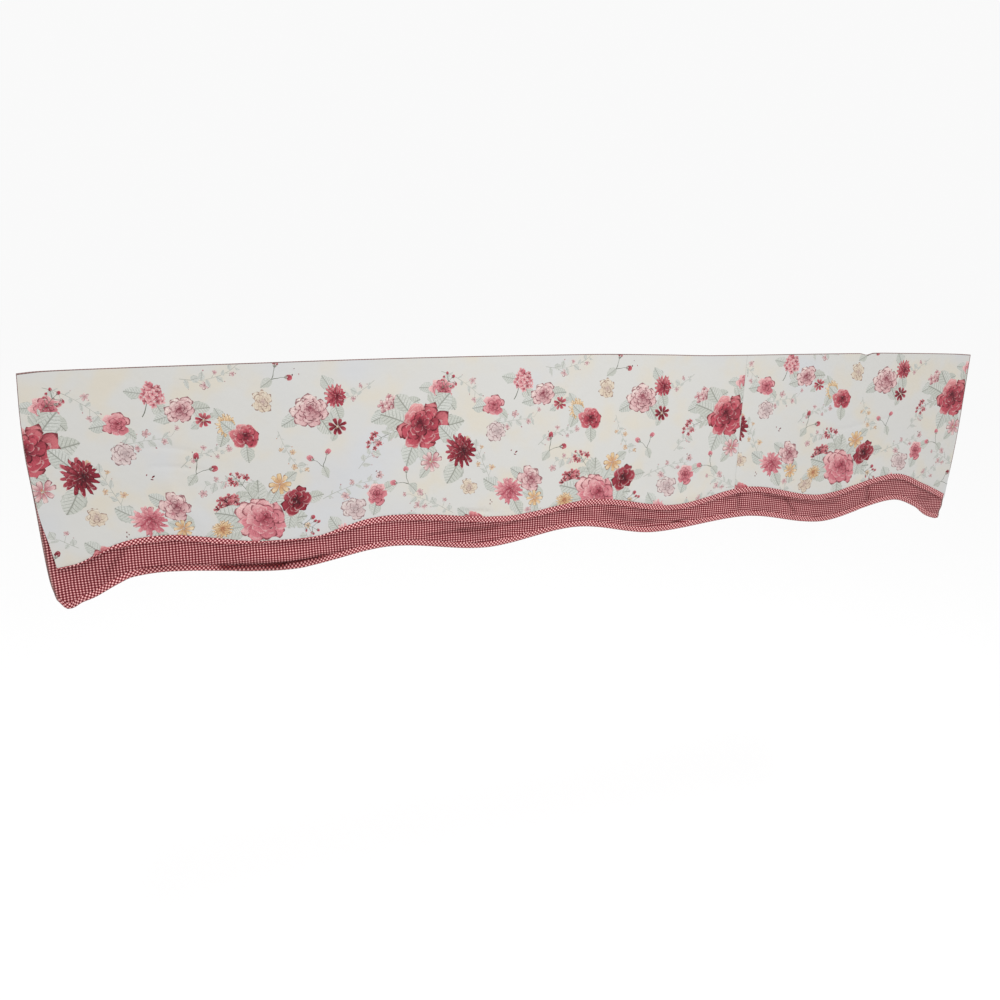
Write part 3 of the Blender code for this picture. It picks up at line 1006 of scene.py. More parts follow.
def ribbon(points, widths, colour):
    """A stem: a line of points, given a width at each."""
    points, widths = np.array(points, float), np.array(widths)[:, None]
    run = np.gradient(points, axis=0)
    run /= np.linalg.norm(run, axis=1)[:, None]
    aside = np.stack([-run[:, 1], run[:, 0]], axis=-1) * widths / 2
    outline = np.concatenate([points - aside, (points + aside)[::-1]])
    return Shape(outline, points[0], points[-1] - points[0], aside[0], 1.0, 0.0, colour, colour, LINE)


def bend(start, turn, length, curl, count=6):
    """Points along an arc that leaves start in one direction and turns by curl over its length."""
    turns = turn + curl * np.linspace(0, 1, count)
    middles = (turns[1:] + turns[:-1]) / 2
    moves = np.stack([np.cos(middles), np.sin(middles)], axis=-1) * length / (count - 1)
    return np.concatenate([[start], start + np.cumsum(moves, axis=0)]), turns


sample = petal((0, 0), 0.0, 0.03, 0.02, (SHELL, GOLD), ruffle=0.08)
print("reach of a sample petal, in metres:", np.ptp(sample.outline, axis=0).round(4))

# %% [markdown]
# ## Blooms
#
# A full bloom is rings of petals, each ring smaller, darker at its root and laid over the one
# outside it. The rings drift towards one side and the whole is squeezed a little, as in a flower
# seen from that side, and petals on the lit side are printed lighter. Rings of a few broad petals
# give a peony or a ranunculus, and rings of many narrow ones an aster.

# %% Blooms
Ring = namedtuple("Ring", "count start reach width root tip")

# Starts, reaches and widths are shares of the bloom's radius.
FULL_RINGS = (
    Ring(7, 0.26, 1.00, 0.88, 0.30, 1.30),
    Ring(7, 0.20, 0.83, 0.78, 0.05, 1.10),
    Ring(6, 0.16, 0.66, 0.66, -0.05, 1.00),
    Ring(6, 0.11, 0.50, 0.52, -0.15, 0.85),
    Ring(5, 0.06, 0.36, 0.42, -0.25, 0.75),
    Ring(4, 0.02, 0.22, 0.30, -0.35, 0.50),
)
CUP_RINGS = (
    Ring(6, 0.20, 1.00, 1.00, 0.15, 1.20),
    Ring(5, 0.14, 0.76, 0.84, -0.05, 1.00),
    Ring(5, 0.09, 0.54, 0.60, -0.20, 0.85),
    Ring(4, 0.02, 0.32, 0.42, -0.35, 0.60),
)
ASTER_RINGS = (
    Ring(16, 0.30, 1.00, 0.30, 0.10, 1.20),
    Ring(14, 0.24, 0.82, 0.28, 0.00, 1.00),
    Ring(11, 0.18, 0.64, 0.25, -0.10, 0.95),
    Ring(9, 0.10, 0.46, 0.22, -0.20, 0.80),
    Ring(6, 0.03, 0.26, 0.17, -0.30, 0.55),
)
SQUEEZE = 0.86  # height of a bloom to its breadth, seen from its side
DRIFT = 0.045  # each ring's shift to one side, as a share of the radius
LIT_SIDE = 2.2  # the light in the drawing comes from the upper left
MODELLING = 0.28  # how much lighter the lit side is
UNDER_SIZE = 0.62  # radius of the plain spot of ink under the petals, as a share of the bloom's
RUFFLE = 0.08  # how far a petal's edge waves, as a share of its size
LARGE_PETAL = 0.020  # metres: a wider petal is drawn with more points
DARK_EDGES = 0.4  # share of a bloom's petals that are drawn with a dark edge in any dye


def bloom(radius, turn, dye, rings, chance):
    """A full flower of overlapping rings of petals, seen a little from the side it turns to."""
    under = UNDER_SIZE * radius
    shapes = [disc((-under, 0), 0.0, 2 * under, 2 * under, dye.root, dye.root, 14)]
    for level, ring in enumerate(rings):
        points = 17 if radius * ring.width > LARGE_PETAL else 11 if ring.width > 0.3 else 8
        centre = np.array([DRIFT * radius * level, 0])
        step = 2 * pi / ring.count
        for k in range(ring.count):
            way = step * (k + 0.5 * (level % 2) + chance.uniform(-0.28, 0.28))
            size = radius * chance.uniform(0.88, 1.06)
            shade = chance.uniform(-0.18, 0.18) + MODELLING * cos(way + turn - LIT_SIDE)
            ends = dyed(dye, ring.root + 0.5 * shade), dyed(dye, max(ring.tip + shade, 0.1))
            root = centre + unit(way) * ring.start * radius
            length = (ring.reach - ring.start) * size
            wide = ring.width * size * chance.uniform(0.85, 1.15)
            phase = chance.uniform(0, 2 * pi)
            kind = DRAWN if chance.random() < DARK_EDGES else dye.kind
            shapes.append(petal(root, way, length, wide, ends, 0.5, points, RUFFLE, phase, kind))
    centre = np.array([DRIFT * radius * len(rings) - 0.06 * radius, 0])
    shapes.append(disc(centre, 0.0, radius * 0.13, radius * 0.1, dye.heart, dye.root, 7))
    squeezed = np.array([[SQUEEZE, 0], [0, 1]]) @ np.array([unit(turn), unit(turn + pi / 2)])
    return changed(shapes, squeezed)


def open_flower(radius, turn, dye, chance, count=8):
    """A flat flower: one ring of broad, notched petals round a dotted golden eye."""
    shapes = []
    for k in range(count):
        way = turn + 2 * pi * (k + chance.uniform(-0.12, 0.12)) / count
        ends = dye.root, dyed(dye, 1 + chance.uniform(-0.2, 0.4))
        width, reach = radius * 4.8 / count, radius * chance.uniform(0.84, 0.96)
        spot = unit(way) * radius * 0.08
        shapes.append(petal(spot, way, reach, width, ends, 0.25, 13, ruffle=0.06, kind=dye.kind))
    for k in range(8):
        way = k * GOLDEN_TURN
        spot = unit(turn + way) * radius * 0.06 * (k**0.5)
        shapes.append(disc(spot, way, radius * 0.11, radius * 0.09, GOLD, dye.heart, 6))
    return shapes


def blossom(radius, turn, dye, chance):
    """A small five-petalled blossom with a dark eye."""
    shapes = []
    for k in range(5):
        way = turn + 2 * pi * (k + chance.uniform(-0.1, 0.1)) / 5
        ends = dye.root, dyed(dye, 1 + chance.uniform(-0.2, 0.5))
        reach = radius * chance.uniform(0.8, 1.05)
        shapes.append(petal((0, 0), way, reach, radius * 0.95, ends, 0.2, 7, kind=dye.kind))
    eye = radius * 0.3
    shapes.append(disc(-unit(turn) * eye / 2, turn, eye, eye, dye.heart, dye.heart, 6))
    return shapes


def bud(length, turn, dye, green=LEAF_GREEN):
    """A closed bud, pointing to turn, in its green cup."""
    shapes = [petal((0, 0), turn, length, length * 0.78, (dye.root, dye.tip), 0.8, 9)]
    for side in (-0.30, 0.34):
        root = unit(turn + pi / 2) * side * length * 0.25
        size = length * 0.86
        ends = dyed(dye, -0.2), dyed(dye, 0.8)
        shapes.append(petal(root, turn - side * 0.4, size, size * 0.5, ends, 0.6, 7))
    for side in (-0.75, 0.0, 0.75):
        size, ends = length * 0.42, (green.stem, green.light)
        shapes.append(petal((0, 0), turn + side, size, size * 0.4, ends, 0.7, 6))
    return shapes


print("shapes in a large bloom:", len(bloom(0.05, 0.0, CRIMSON_DYE, FULL_RINGS, random.Random(5))))

# %% [markdown]
# ## Leaves, sprays and clusters
#
# Leaves are grey-green and toothed. A spray carries small leaves in pairs along a bent stem, and
# blossoms or buds towards its tip. A cluster is a head of many small blossoms. A wisp is a thin
# stem with loose small leaves, pale blossoms and dark seeds: many of them, close to the ground's
# colour, make the haze between the blooms.

# %% Leaves, sprays and clusters


def leaf(root, turn, length, green, chance, plump=0.72, count=14):
    """A rounded, toothed leaf, bent a little to one side."""
    curl = chance.uniform(-0.35, 0.35)
    forth = unit(turn) * length
    aside = unit(turn + pi / 2) * length * plump / 2 * chance.uniform(0.85, 1.1)
    steps = np.linspace(0, 1, count)
    teeth = np.where(np.arange(count) % 2, 1.06, 0.98)
    half = np.sin(pi * steps**0.85).clip(0) ** 0.75 * teeth
    bent = curl * steps**2
    t = np.concatenate([steps, steps[-2:0:-1]])
    y = np.concatenate([bent - half, (bent + half)[-2:0:-1]])
    outline = root + np.outer(t, forth) + np.outer(y, aside)
    axes = np.array(root, float), forth, aside
    return Shape(outline, *axes, 1.0, curl, green.shade, green.light, LEAF_SHAPE)


def spray(turn, length, curl, green, dye, chance, pairs=6, fruit="blossom"):
    """A bent stem from the zero point, with leaves in pairs and then blossoms or buds."""
    line, turns = bend(np.zeros(2), turn, length, curl, 9)
    shapes = [ribbon(line, np.linspace(0.0013, 0.0006, len(line)), green.stem)]
    for k in range(pairs):
        t = (k + 0.6) / pairs
        spot, way = line[round(t * 8)], turns[round(t * 8)]
        for side in (-1, 1):
            lean = way + side * chance.uniform(0.6, 1.2)
            reach = length * (0.26 - 0.12 * t) * chance.uniform(0.7, 1.25)
            if t < 0.55:
                shapes.append(leaf(spot, lean, reach, green, chance, 0.5, 7))
                continue
            tip = spot + unit(lean) * reach
            shapes.append(ribbon([spot, tip], (0.0009, 0.0006), green.stem))
            head = bud(reach * 0.7, lean, dye, green)
            if fruit == "blossom":
                head = blossom(reach * 0.5, lean, dye, chance)
            shapes += changed(head, to=tip)
    return shapes + changed(bud(length * 0.12, turns[-1], dye, green), to=line[-1])


def cluster(radius, turn, dye, chance, count=17):
    """A rounded head of small blossoms on a stem."""
    stem, _ = bend(-unit(turn) * radius * 1.7, turn, radius * 1.7, 0.3)
    shapes = [ribbon(stem, np.linspace(0.0016, 0.001, len(stem)), LEAF_GREEN.stem)]
    for k in reversed(range(count)):
        spot = unit(turn + k * GOLDEN_TURN) * radius * 0.82 * ((k + 0.3) / count) ** 0.5
        fade = chance.uniform(-0.4, 0.6)
        ink = dye._replace(root=dyed(dye, fade), tip=dyed(dye, 1 + fade))
        shapes += changed(blossom(radius * chance.uniform(0.26, 0.36), k * 1.3, ink, chance), to=spot)
    return shapes


def wisp(turn, length, dye, chance, twigs=13):
    """A thin stem with loose leaves, pale blossoms and dark seeds along it."""
    line, turns = bend(-unit(turn) * length / 2, turn, length, chance.uniform(-1.2, 1.2), twigs + 1)
    shapes = [ribbon(line[::2], np.linspace(0.0009, 0.0005, len(line[::2])), PALE_GREEN.stem)]
    for k in range(1, twigs):
        lean = turns[k] + (-1) ** k * chance.uniform(0.4, 1.4)
        reach = length * chance.uniform(0.07, 0.17)
        tip = line[k] + unit(lean) * reach
        if k % 3:
            shapes.append(leaf(line[k], lean, reach, PALE_GREEN, chance, chance.uniform(0.35, 0.8), 6))
        if k % 3 == 1:
            seed = chance.uniform(0.0014, 0.0026)
            shapes.append(disc(tip, lean, seed * 1.6, seed, dye.heart, dye.root, 5))
        if k % 3 == 0:
            shapes.append(ribbon([line[k], tip], (0.0007, 0.0005), PALE_GREEN.stem))
            size = length * 0.055 * chance.uniform(0.8, 1.5)
            shapes += changed(blossom(size, lean, dye, chance), to=tip)
    return shapes


print("shapes in a spray:", len(spray(0.0, 0.1, 0.4, LEAF_GREEN, PINK_DYE, random.Random(5))))

# %% [markdown]
# ## The design
#
# A furnishing print repeats. One repeat is set out in a table: what grows where, how large it is,
# and which way it faces. The haze is printed first and the flowers over it, with leaves behind
# each of them.

# %% One repeat of the design
REPEAT = 0.686  # 27 inches
REPEAT_DROP = 0.52  # from one row of repeats to the next, which is moved by half a repeat
Motif = namedtuple("Motif", "kind along drop size turn dye")

HAZE = (
    Motif("wisp", 0.020, 0.165, 0.110, 0.9, PALE_DYE),
    Motif("wisp", 0.050, 0.330, 0.120, 0.3, PALE_DYE),
    Motif("wisp", 0.205, 0.045, 0.115, -0.3, PALE_DYE),
    Motif("wisp", 0.236, 0.215, 0.110, 2.0, APRICOT_DYE),
    Motif("wisp", 0.300, 0.130, 0.105, 0.1, PALE_DYE),
    Motif("wisp", 0.345, 0.330, 0.120, 1.1, PALE_DYE),
    Motif("wisp", 0.420, 0.040, 0.115, -0.3, PALE_DYE),
    Motif("wisp", 0.440, 0.205, 0.105, 2.7, PALE_DYE),
    Motif("wisp", 0.575, 0.345, 0.115, 1.7, APRICOT_DYE),
    Motif("wisp", 0.655, 0.235, 0.120, 0.5, PALE_DYE),
    Motif("wisp", 0.668, 0.075, 0.105, -2.4, PALE_DYE),
    Motif("wisp", 0.535, 0.175, 0.100, -1.4, APRICOT_DYE),
    Motif("wisp", 0.125, 0.285, 0.110, 2.6, PALE_DYE),
    Motif("wisp", 0.385, 0.150, 0.090, 0.8, PALE_DYE),
    Motif("ghost", 0.262, 0.150, 0.024, 0.6, PALE_DYE),
    Motif("ghost", 0.660, 0.288, 0.026, 1.6, PALE_DYE),
    Motif("ghost", 0.395, 0.330, 0.022, 2.6, APRICOT_DYE),
    Motif("ghost", 0.500, 0.070, 0.022, 0.4, APRICOT_DYE),
    Motif("ghost", 0.205, 0.262, 0.020, 1.1, APRICOT_DYE),
)
FLOWERS = (
    Motif("cluster", 0.058, 0.092, 0.030, 2.3, PALE_DYE),
    Motif("cup", 0.150, 0.062, 0.026, 1.2, PINK_DYE),
    Motif("full", 0.112, 0.132, 0.055, 2.2, CRIMSON_DYE),
    Motif("aster", 0.188, 0.186, 0.038, 0.4, WINE_DYE),
    Motif("open", 0.128, 0.204, 0.022, 0.2, PALE_DYE),
    Motif("cup", 0.338, 0.254, 0.030, 0.8, PALE_DYE),
    Motif("aster", 0.292, 0.276, 0.034, 1.2, PINK_DYE),
    Motif("open", 0.348, 0.296, 0.018, 0.8, APRICOT_DYE),
    Motif("cluster", 0.318, 0.050, 0.024, 1.1, PINK_DYE),
    Motif("cup", 0.362, 0.078, 0.027, 2.0, PALE_DYE),
    Motif("open", 0.398, 0.098, 0.015, 2.0, CRIMSON_DYE),
    Motif("cluster", 0.430, 0.262, 0.026, 2.6, CRIMSON_DYE),
    Motif("full", 0.486, 0.296, 0.052, 0.9, PINK_DYE),
    Motif("cup", 0.552, 0.262, 0.031, 2.4, WINE_DYE),
    Motif("open", 0.524, 0.228, 0.022, 2.4, APRICOT_DYE),
    Motif("aster", 0.436, 0.110, 0.022, 0.2, APRICOT_DYE),
    Motif("cup", 0.466, 0.132, 0.028, 1.0, CRIMSON_DYE),
    Motif("full", 0.584, 0.092, 0.035, 1.4, PALE_DYE),
    Motif("aster", 0.632, 0.066, 0.025, 0.2, CRIMSON_DYE),
    Motif("open", 0.634, 0.124, 0.018, 0.4, WINE_DYE),
    Motif("cup", 0.020, 0.262, 0.024, 2.9, PINK_DYE),
    Motif("cup", 0.216, 0.338, 0.025, 0.6, CRIMSON_DYE),
    Motif("aster", 0.640, 0.340, 0.026, 0.6, PINK_DYE),
    Motif("cup", 0.256, 0.098, 0.024, 1.3, PINK_DYE),
    Motif("aster", 0.415, 0.305, 0.020, 1.8, APRICOT_DYE),
    Motif("pair", 0.520, 0.030, 0.015, 0.7, CRIMSON_DYE),
    Motif("pair", 0.082, 0.246, 0.015, 2.4, PINK_DYE),
    Motif("pair", 0.378, 0.196, 0.016, 0.9, CRIMSON_DYE),
    Motif("pair", 0.605, 0.200, 0.015, 1.9, PINK_DYE),
    Motif("pair", 0.120, 0.345, 0.015, 0.4, WINE_DYE),
    Motif("seeds", 0.300, 0.196, 0.006, 0.4, WINE_DYE),
    Motif("seeds", 0.560, 0.020, 0.006, 1.4, WINE_DYE),
    Motif("seeds", 0.022, 0.222, 0.005, 2.4, WINE_DYE),
    Motif("seeds", 0.254, 0.300, 0.006, 1.9, WINE_DYE),
)
print("motifs in one repeat:", len(HAZE + FLOWERS))

# %% [markdown]
# Each motif is drawn about its own zero point and moved to its place. Leaves come before the
# flower that lies on them. Last of all every outline is made to stray a little, as by hand.

# %% Drawing the repeat
RINGS = {"full": FULL_RINGS, "cup": CUP_RINGS, "aster": ASTER_RINGS}
DRAWING = 11  # number of the drawing: another one gives other petals and leaves
WOBBLE = 0.0007  # metres that a hand-drawn outline strays
LARGE = 0.040  # a bloom of this radius or more has a whole posy of leaves behind it


def companions(motif, chance):
    """Leaves behind a flower, and sprays behind a large one."""
    shapes = []
    large = motif.size >= LARGE
    count = 6 if large else 2
    for k in range(count):
        way = motif.turn + 1.8 + k * (1.1 if large else GOLDEN_TURN) + chance.uniform(-0.3, 0.3)
        length = motif.size * (chance.uniform(0.9, 1.1) if large else chance.uniform(1.1, 1.4))
        lean = way + chance.uniform(-0.3, 0.3)
        green = LEAF_GREEN if k % 3 else PALE_GREEN
        shapes.append(leaf(unit(way) * motif.size * 0.55, lean, length, green, chance))
    for side, fruit in ((-1, "buds"), (1, "blossom")) if large else ():
        way = motif.turn + side * chance.uniform(0.8, 1.2)
        sprig = spray(way, motif.size * 1.3, side * 0.5, LEAF_GREEN, CRIMSON_DYE, chance, 6, fruit)
        shapes += changed(sprig, to=unit(way) * motif.size * 0.7)
    return shapes


def bud_pair(motif, chance):
    """Two buds on bent stems from one leaf."""
    shapes = [leaf(np.zeros(2), motif.turn + pi, motif.size * 1.6, LEAF_GREEN, chance)]
    for side in (-0.5, 0.45):
        line, turns = bend(np.zeros(2), motif.turn + side, motif.size * 1.5, side * 0.5, 5)
        shapes.append(ribbon(line, np.linspace(0.0013, 0.0009, 5), LEAF_GREEN.stem))
        shapes += changed(bud(motif.size, turns[-1], motif.dye), to=line[-1])
    return shapes


def seeds(motif, chance):
    """A few loose dark seeds."""
    shapes = []
    for k in range(3):
        spot = unit(motif.turn + GOLDEN_TURN * k) * motif.size * chance.uniform(0.5, 1.6)
        size = motif.size * chance.uniform(0.5, 1.0)
        ends = motif.dye.heart, motif.dye.tip
        shapes.append(petal(spot, chance.uniform(0, 6), size, size * 0.6, ends, 0.8, 8))
    return shapes


def drawn(motif, chance):
    """The shapes of one motif, about its own zero point."""
    size, turn, dye = motif.size, motif.turn, motif.dye
    if motif.kind == "wisp":
        return paler(wisp(turn, size, dye, chance), 0.25)
    if motif.kind == "ghost":
        return paler(bloom(size, turn, dye, CUP_RINGS, chance), 0.5)
    if motif.kind == "seeds":
        return seeds(motif, chance)
    if motif.kind == "pair":
        return bud_pair(motif, chance)
    shapes = companions(motif, chance)
    if motif.kind == "cluster":
        return shapes + cluster(size, turn, dye, chance)
    if motif.kind == "open":
        return shapes + open_flower(size, turn, dye, chance)
    return shapes + bloom(size, turn, dye, RINGS[motif.kind], chance)


def by_hand(outline):
    """The same outline, drawn a little unevenly."""
    x, y = outline.T
    aside = np.sin(x * 310 + y * 170 + 1.0) + 0.6 * np.sin(y * 640 - x * 410)
    upward = np.sin(x * 190 - y * 330 + 2.0) + 0.6 * np.sin(x * 590 + y * 470)
    return outline + WOBBLE * np.stack([aside, upward], axis=-1)


def one_repeat():
    """All shapes of one repeat, in the order in which they are printed."""
    chance = random.Random(DRAWING)
    shapes = []
    for motif in HAZE + FLOWERS:
        shapes += changed(drawn(motif, chance), to=(motif.along, -motif.drop))
    return [s._replace(outline=by_hand(s.outline)) for s in shapes]


design = one_repeat()
print("shapes in one repeat:", len(design))

# %% [markdown]
# ## Cutting the cloth along the print
#
# A constrained triangulation cuts the cloth along every outline, and tells for each triangle which
# shapes cover it; the topmost one colours it. Its time grows faster than its size, so the cloth is
# cut in small cells, each with only the shapes that reach it, and the cells are joined again where
# they meet. A cell is cut twice: the second time only along the edges that still show, so that the
# outlines hidden under other shapes cost no faces. Each width of cloth starts its repeat at a
# place of its own, so the print jumps at the seam.

# %% Cells of the overlay
CELL = WIDTH / 40  # so that one side of a cell lies where the map for baking is folded
CELL_ROWS = 3
SMALLEST_CELL = 0.2  # a width that ends in a narrower share of a cell adds it to the one before
STATION = 0.010  # distance between the points along a cell's sides, and of the grid inside it
FINE_STATION = STATION / 3  # and of the grid on a fine crease
CREASED = 0.0001  # a fine crease deeper than this has more points
MIDDLE_DROP = 0.18  # halfway down the cloth
CLOTH_FOOT = 0.38  # the cloth reaches no lower than this
PRINT_MARGIN = 0.02  # shapes up to this far outside the cloth are kept
JOIN = 0.000004  # points of neighbouring cells nearer than this are one
TOUCH = 1e-7  # and those nearer than this are one where a cell is cut
SEAM_WIDTH = 0.0009
SEAM_FOOT = 0.5  # the seam's line runs on below the cloth
# A thin line of painted shade runs down the seam, in this colour.
SEAM_SHADE = blend(GROUND, LEAF_GREEN.stem, 0.18)
PrintedWidth = namedtuple("PrintedWidth", "first last shift raised")
SEAM_GAP = 0.0002  # between the two widths where they meet
PRINTED_WIDTHS = (
    PrintedWidth(0.0, SEAM - SEAM_GAP / 2, -0.115, 0.0),
    PrintedWidth(SEAM + SEAM_GAP / 2, WIDTH, 1.204, 0.028),
)


def printed_on(width):
    """The shapes on one width of cloth: the repeat, again and again, from its own start."""
    shapes = []
    for start in np.arange(width.shift - REPEAT, width.last, REPEAT):
        shapes += changed(design, to=(start + REPEAT / 2, width.raised - REPEAT_DROP))
        shapes += changed(design, to=(start + REPEAT / 2, width.raised + REPEAT_DROP))
    for start in np.arange(width.shift, width.last, REPEAT):
        shapes += changed(design, to=(start, width.raised))
    # The seam is marked by a thin line of painted shade.
    seam_line = np.array([[SEAM, PRINT_MARGIN], [SEAM, -SEAM_FOOT]])
    shapes.append(ribbon(seam_line, (SEAM_WIDTH, SEAM_WIDTH), SEAM_SHADE))
    left, right = width.first - PRINT_MARGIN, width.last + PRINT_MARGIN
    kept = []
    for shape in shapes:
        x, y = shape.outline.T
        if x.max() > left and x.min() < right and y.max() > -CLOTH_FOOT:
            kept.append(shape)
    return kept


def cloth_left(y):
    """Where the overlay's left edge is, at a height below its top edge."""
    return overlay_left_edge(top_edge(0.0) - y)


def cloth_right(y):
    return right_edge(top_edge(WIDTH) - y) - RIGHT_INSET


def cloth_bottom(x):
    """Height of the cloth's raw edge, inside the tape, below the top edge."""
    return top_edge(x) - overlay_hem(x) + RAW_EDGE


def side_points(edge, top, bottom):
    """Points down one side of a cell, from top to bottom."""
    count = max(ceil(float(top - bottom) / STATION), 1)
    heights = np.linspace(top, bottom, count + 1)
    return [(float(edge(y)), float(y)) for y in heights]


def cell_outline(left, right, top, bottom):
    """A cell's outline, anticlockwise, from its top left corner."""
    start, end = left(-MIDDLE_DROP), right(-MIDDLE_DROP)
    down = side_points(left, top(start), bottom(start))
    up = side_points(right, top(end), bottom(end))[::-1]
    steps = np.arange(1, round(CELL / STATION)) / round(CELL / STATION)
    floor = down[-1][0] + (up[0][0] - down[-1][0]) * steps
    ceiling = up[-1][0] + (down[0][0] - up[-1][0]) * steps
    outline = down + [(x, float(bottom(x))) for x in floor] + up
    return outline + [(x, float(top(x))) for x in ceiling]


def inner_grid(outline):
    """Points inside a cell, so that its face can follow the folds. They are closer at a crease."""
    x, y = np.array(outline).T
    points = []
    for step, least_depth in ((STATION, 0.0), (FINE_STATION, CREASED)):
        across = np.arange(x.min() + step / 2, x.max() - FINE_STATION, step)
        down = np.arange(y.min() + step / 2, y.max() - FINE_STATION, step)
        a, b = (part.ravel() for part in np.meshgrid(across, down, indexing="ij"))
        rise = overlay_hem(a) - top_edge(a) + b
        folded = np.abs(creases(a, rise, OVERLAY_FINE_CREASES, FINE_FADE)) >= least_depth
        points += list(zip(a[folded], b[folded]))
    return points


def cells_of(width):
    """Outlines of the cells of one width of cloth."""
    first = ceil(width.first / CELL + SMALLEST_CELL)
    inner = np.arange(first, width.last / CELL - SMALLEST_CELL) * CELL
    edges = [width.first, *inner, width.last]
    sides = [lambda y, x=x: x for x in edges]
    if width.first == 0.0:
        sides[0] = cloth_left
    if width.last == WIDTH:
        sides[-1] = cloth_right

    def level(row):
        return lambda x: -OVERLAY_INSET + (cloth_bottom(x) + OVERLAY_INSET) * row / CELL_ROWS

    for left, right in zip(sides, sides[1:]):
        for row in range(CELL_ROWS):
            yield cell_outline(left, right, level(row), level(row + 1))


print("cells of the two widths:", [len(list(cells_of(width))) for width in PRINTED_WIDTHS])

# %% [markdown]
# The first cut of a cell follows every outline in it. The shape on top of each triangle is known
# then, so the edges that still show can be picked out, and the second cut follows those alone. The
# top shapes are found again by spreading from the edges into the faces between them.

# %% Cutting a cell


def edges_of(triangle):
    a, b, c = triangle
    return (a, b), (b, c), (c, a)


def cut_again(places, triangles, tops, kept_inside):
    """The same cell, cut only along the edges with another shape, or nothing, on their far side.

    Where two points lie so near that an edge runs through one of them, the first cut is kept.
    """
    left = {edge: top for triangle, top in zip(triangles, tops) for edge in edges_of(triangle)}
    shown = {edge: top for edge, top in left.items() if left.get(edge[::-1]) != top}
    kept = sorted({v for edge in shown for v in edge} | kept_inside)
    index = {v: k for k, v in enumerate(kept)}
    walls = {(index[a], index[b]): top for (a, b), top in shown.items()}
    points = [places[v] for v in kept]
    again, _, faces, _, _, _ = delaunay_2d_cdt(points, list(walls), [], 1, TOUCH)
    face_at = {edge: k for k, face in enumerate(faces) for edge in edges_of(face)}
    if len(again) != len(points) or not walls.keys() <= face_at.keys():
        return places, triangles, tops
    top_of = {}
    waiting = [(face_at[edge], top) for edge, top in walls.items()]
    while waiting:
        k, top = waiting.pop()
        if k not in top_of:
            top_of[k] = top
            open_edges = [edge[::-1] for edge in edges_of(faces[k]) if edge not in walls]
            waiting += [(face_at[edge], top) for edge in open_edges]
    return again, faces, [top_of[k] for k in range(len(faces))]


def cut_cell(outline, shapes, boxes):
    """Triangles of one cell, each with the number of the shape on top, or -1 on bare ground."""
    corners = np.array(outline)
    low, high = corners.min(axis=0), corners.max(axis=0)
    near = np.flatnonzero(((boxes[:, 2:] > low) & (boxes[:, :2] < high)).all(axis=1))
    points = [Vector(p) for p in outline]
    faces = [list(range(len(outline)))]
    for k in near:
        faces.append(list(range(len(points), len(points) + len(shapes[k].outline))))
        points += [Vector(p) for p in shapes[k].outline]
    first_inside = len(points)
    points += [Vector(p) for p in inner_grid(outline)]
    places, _, triangles, came_from, _, covered = delaunay_2d_cdt(points, [], faces, 1, TOUCH)
    kept = [(tuple(t), max(c)) for t, c in zip(triangles, covered) if 0 in c]
    triangles, tops = [t for t, _ in kept], [near[top - 1] if top else -1 for _, top in kept]
    inside = {v for v, ids in enumerate(came_from) if ids and max(ids) >= first_inside}
    inside &= {v for t in triangles for v in t}
    places, triangles, tops = cut_again(places, triangles, tops, inside)
    triangles = np.array([tuple(t) for t in triangles])
    return np.array([tuple(p) for p in places]), triangles, np.array(tops)


def cut_width(width, on):
    """Cells of one width, cut along the shapes on it: flat points, triangles and top shapes."""
    points, triangles, tops = [], [], []
    total = 0
    boxes = np.array([[*s.outline.min(axis=0), *s.outline.max(axis=0)] for s in on]).reshape(-1, 4)
    for outline in cells_of(width):
        cell = cut_cell(outline, on, boxes)
        points.append(cell[0])
        triangles.append(cell[1] + total)
        tops.append(cell[2])
        total += len(cell[0])
    return np.concatenate(points), np.concatenate(triangles), np.concatenate(tops)


bare_cell = cut_cell(next(cells_of(PRINTED_WIDTHS[0])), [], np.empty((0, 4)))
print("triangles of the first cell, unprinted:", len(bare_cell[1]))

# %% [markdown]
# ## The overlay as one closed sheet
#
# The cells are joined into one front face. The back of this cloth hides against the underlay, so
# it needs no print: it is triangulated afresh from the front's outline, with far fewer faces, and
# a narrow rim joins the two. The triangles differ so much in size that shading normals worked out
# from them would be uneven, so each corner is given the true direction of the cloth's face.

# %% The overlay
BARE, BACK, RIM = -1, -2, -3  # in place of a shape's number, on the unprinted faces


def merged(cut, numbers, side):
    """Cells merged into one flat face, with the number of its shape on each triangle."""
    points, triangles, _ = cut
    mesh = bpy.data.meshes.new("cut_cloth")
    mesh.from_pydata(np.pad(points, ((0, 0), (0, 1))).tolist(), [], triangles.tolist())
    mesh.attributes.new("shape", "INT", "FACE").data.foreach_set("value", numbers.astype(np.int32))
    add_values(mesh, "side", np.full(len(points), side))
    bm = bmesh.new()
    bm.from_mesh(mesh)
    bmesh.ops.remove_doubles(bm, verts=bm.verts, dist=JOIN)
    bm.to_mesh(mesh)
    bm.free()
    return mesh


def add_face(bm, cut, numbers, side):
    """Adds such a face to bm. Returns its faces, and the vertices round it, anticlockwise."""
    mesh = merged(cut, numbers, side)
    before = len(bm.faces)
    bm.from_mesh(mesh)
    bpy.data.meshes.remove(mesh)
    bm.faces.ensure_lookup_table()
    added = bm.faces[before:]
    corners = [c for face in added for c in face.loops if c.edge.is_boundary]
    following = {c.vert: c.link_loop_next.vert for c in corners}
    start = min(following, key=lambda vert: vert.co.x + vert.co.y)
    loop, at = [start], following[start]
    while at is not start:
        loop.append(at)
        at = following[at]
    print("points round a face:", len(loop), "of", len(following))
    return added, loop


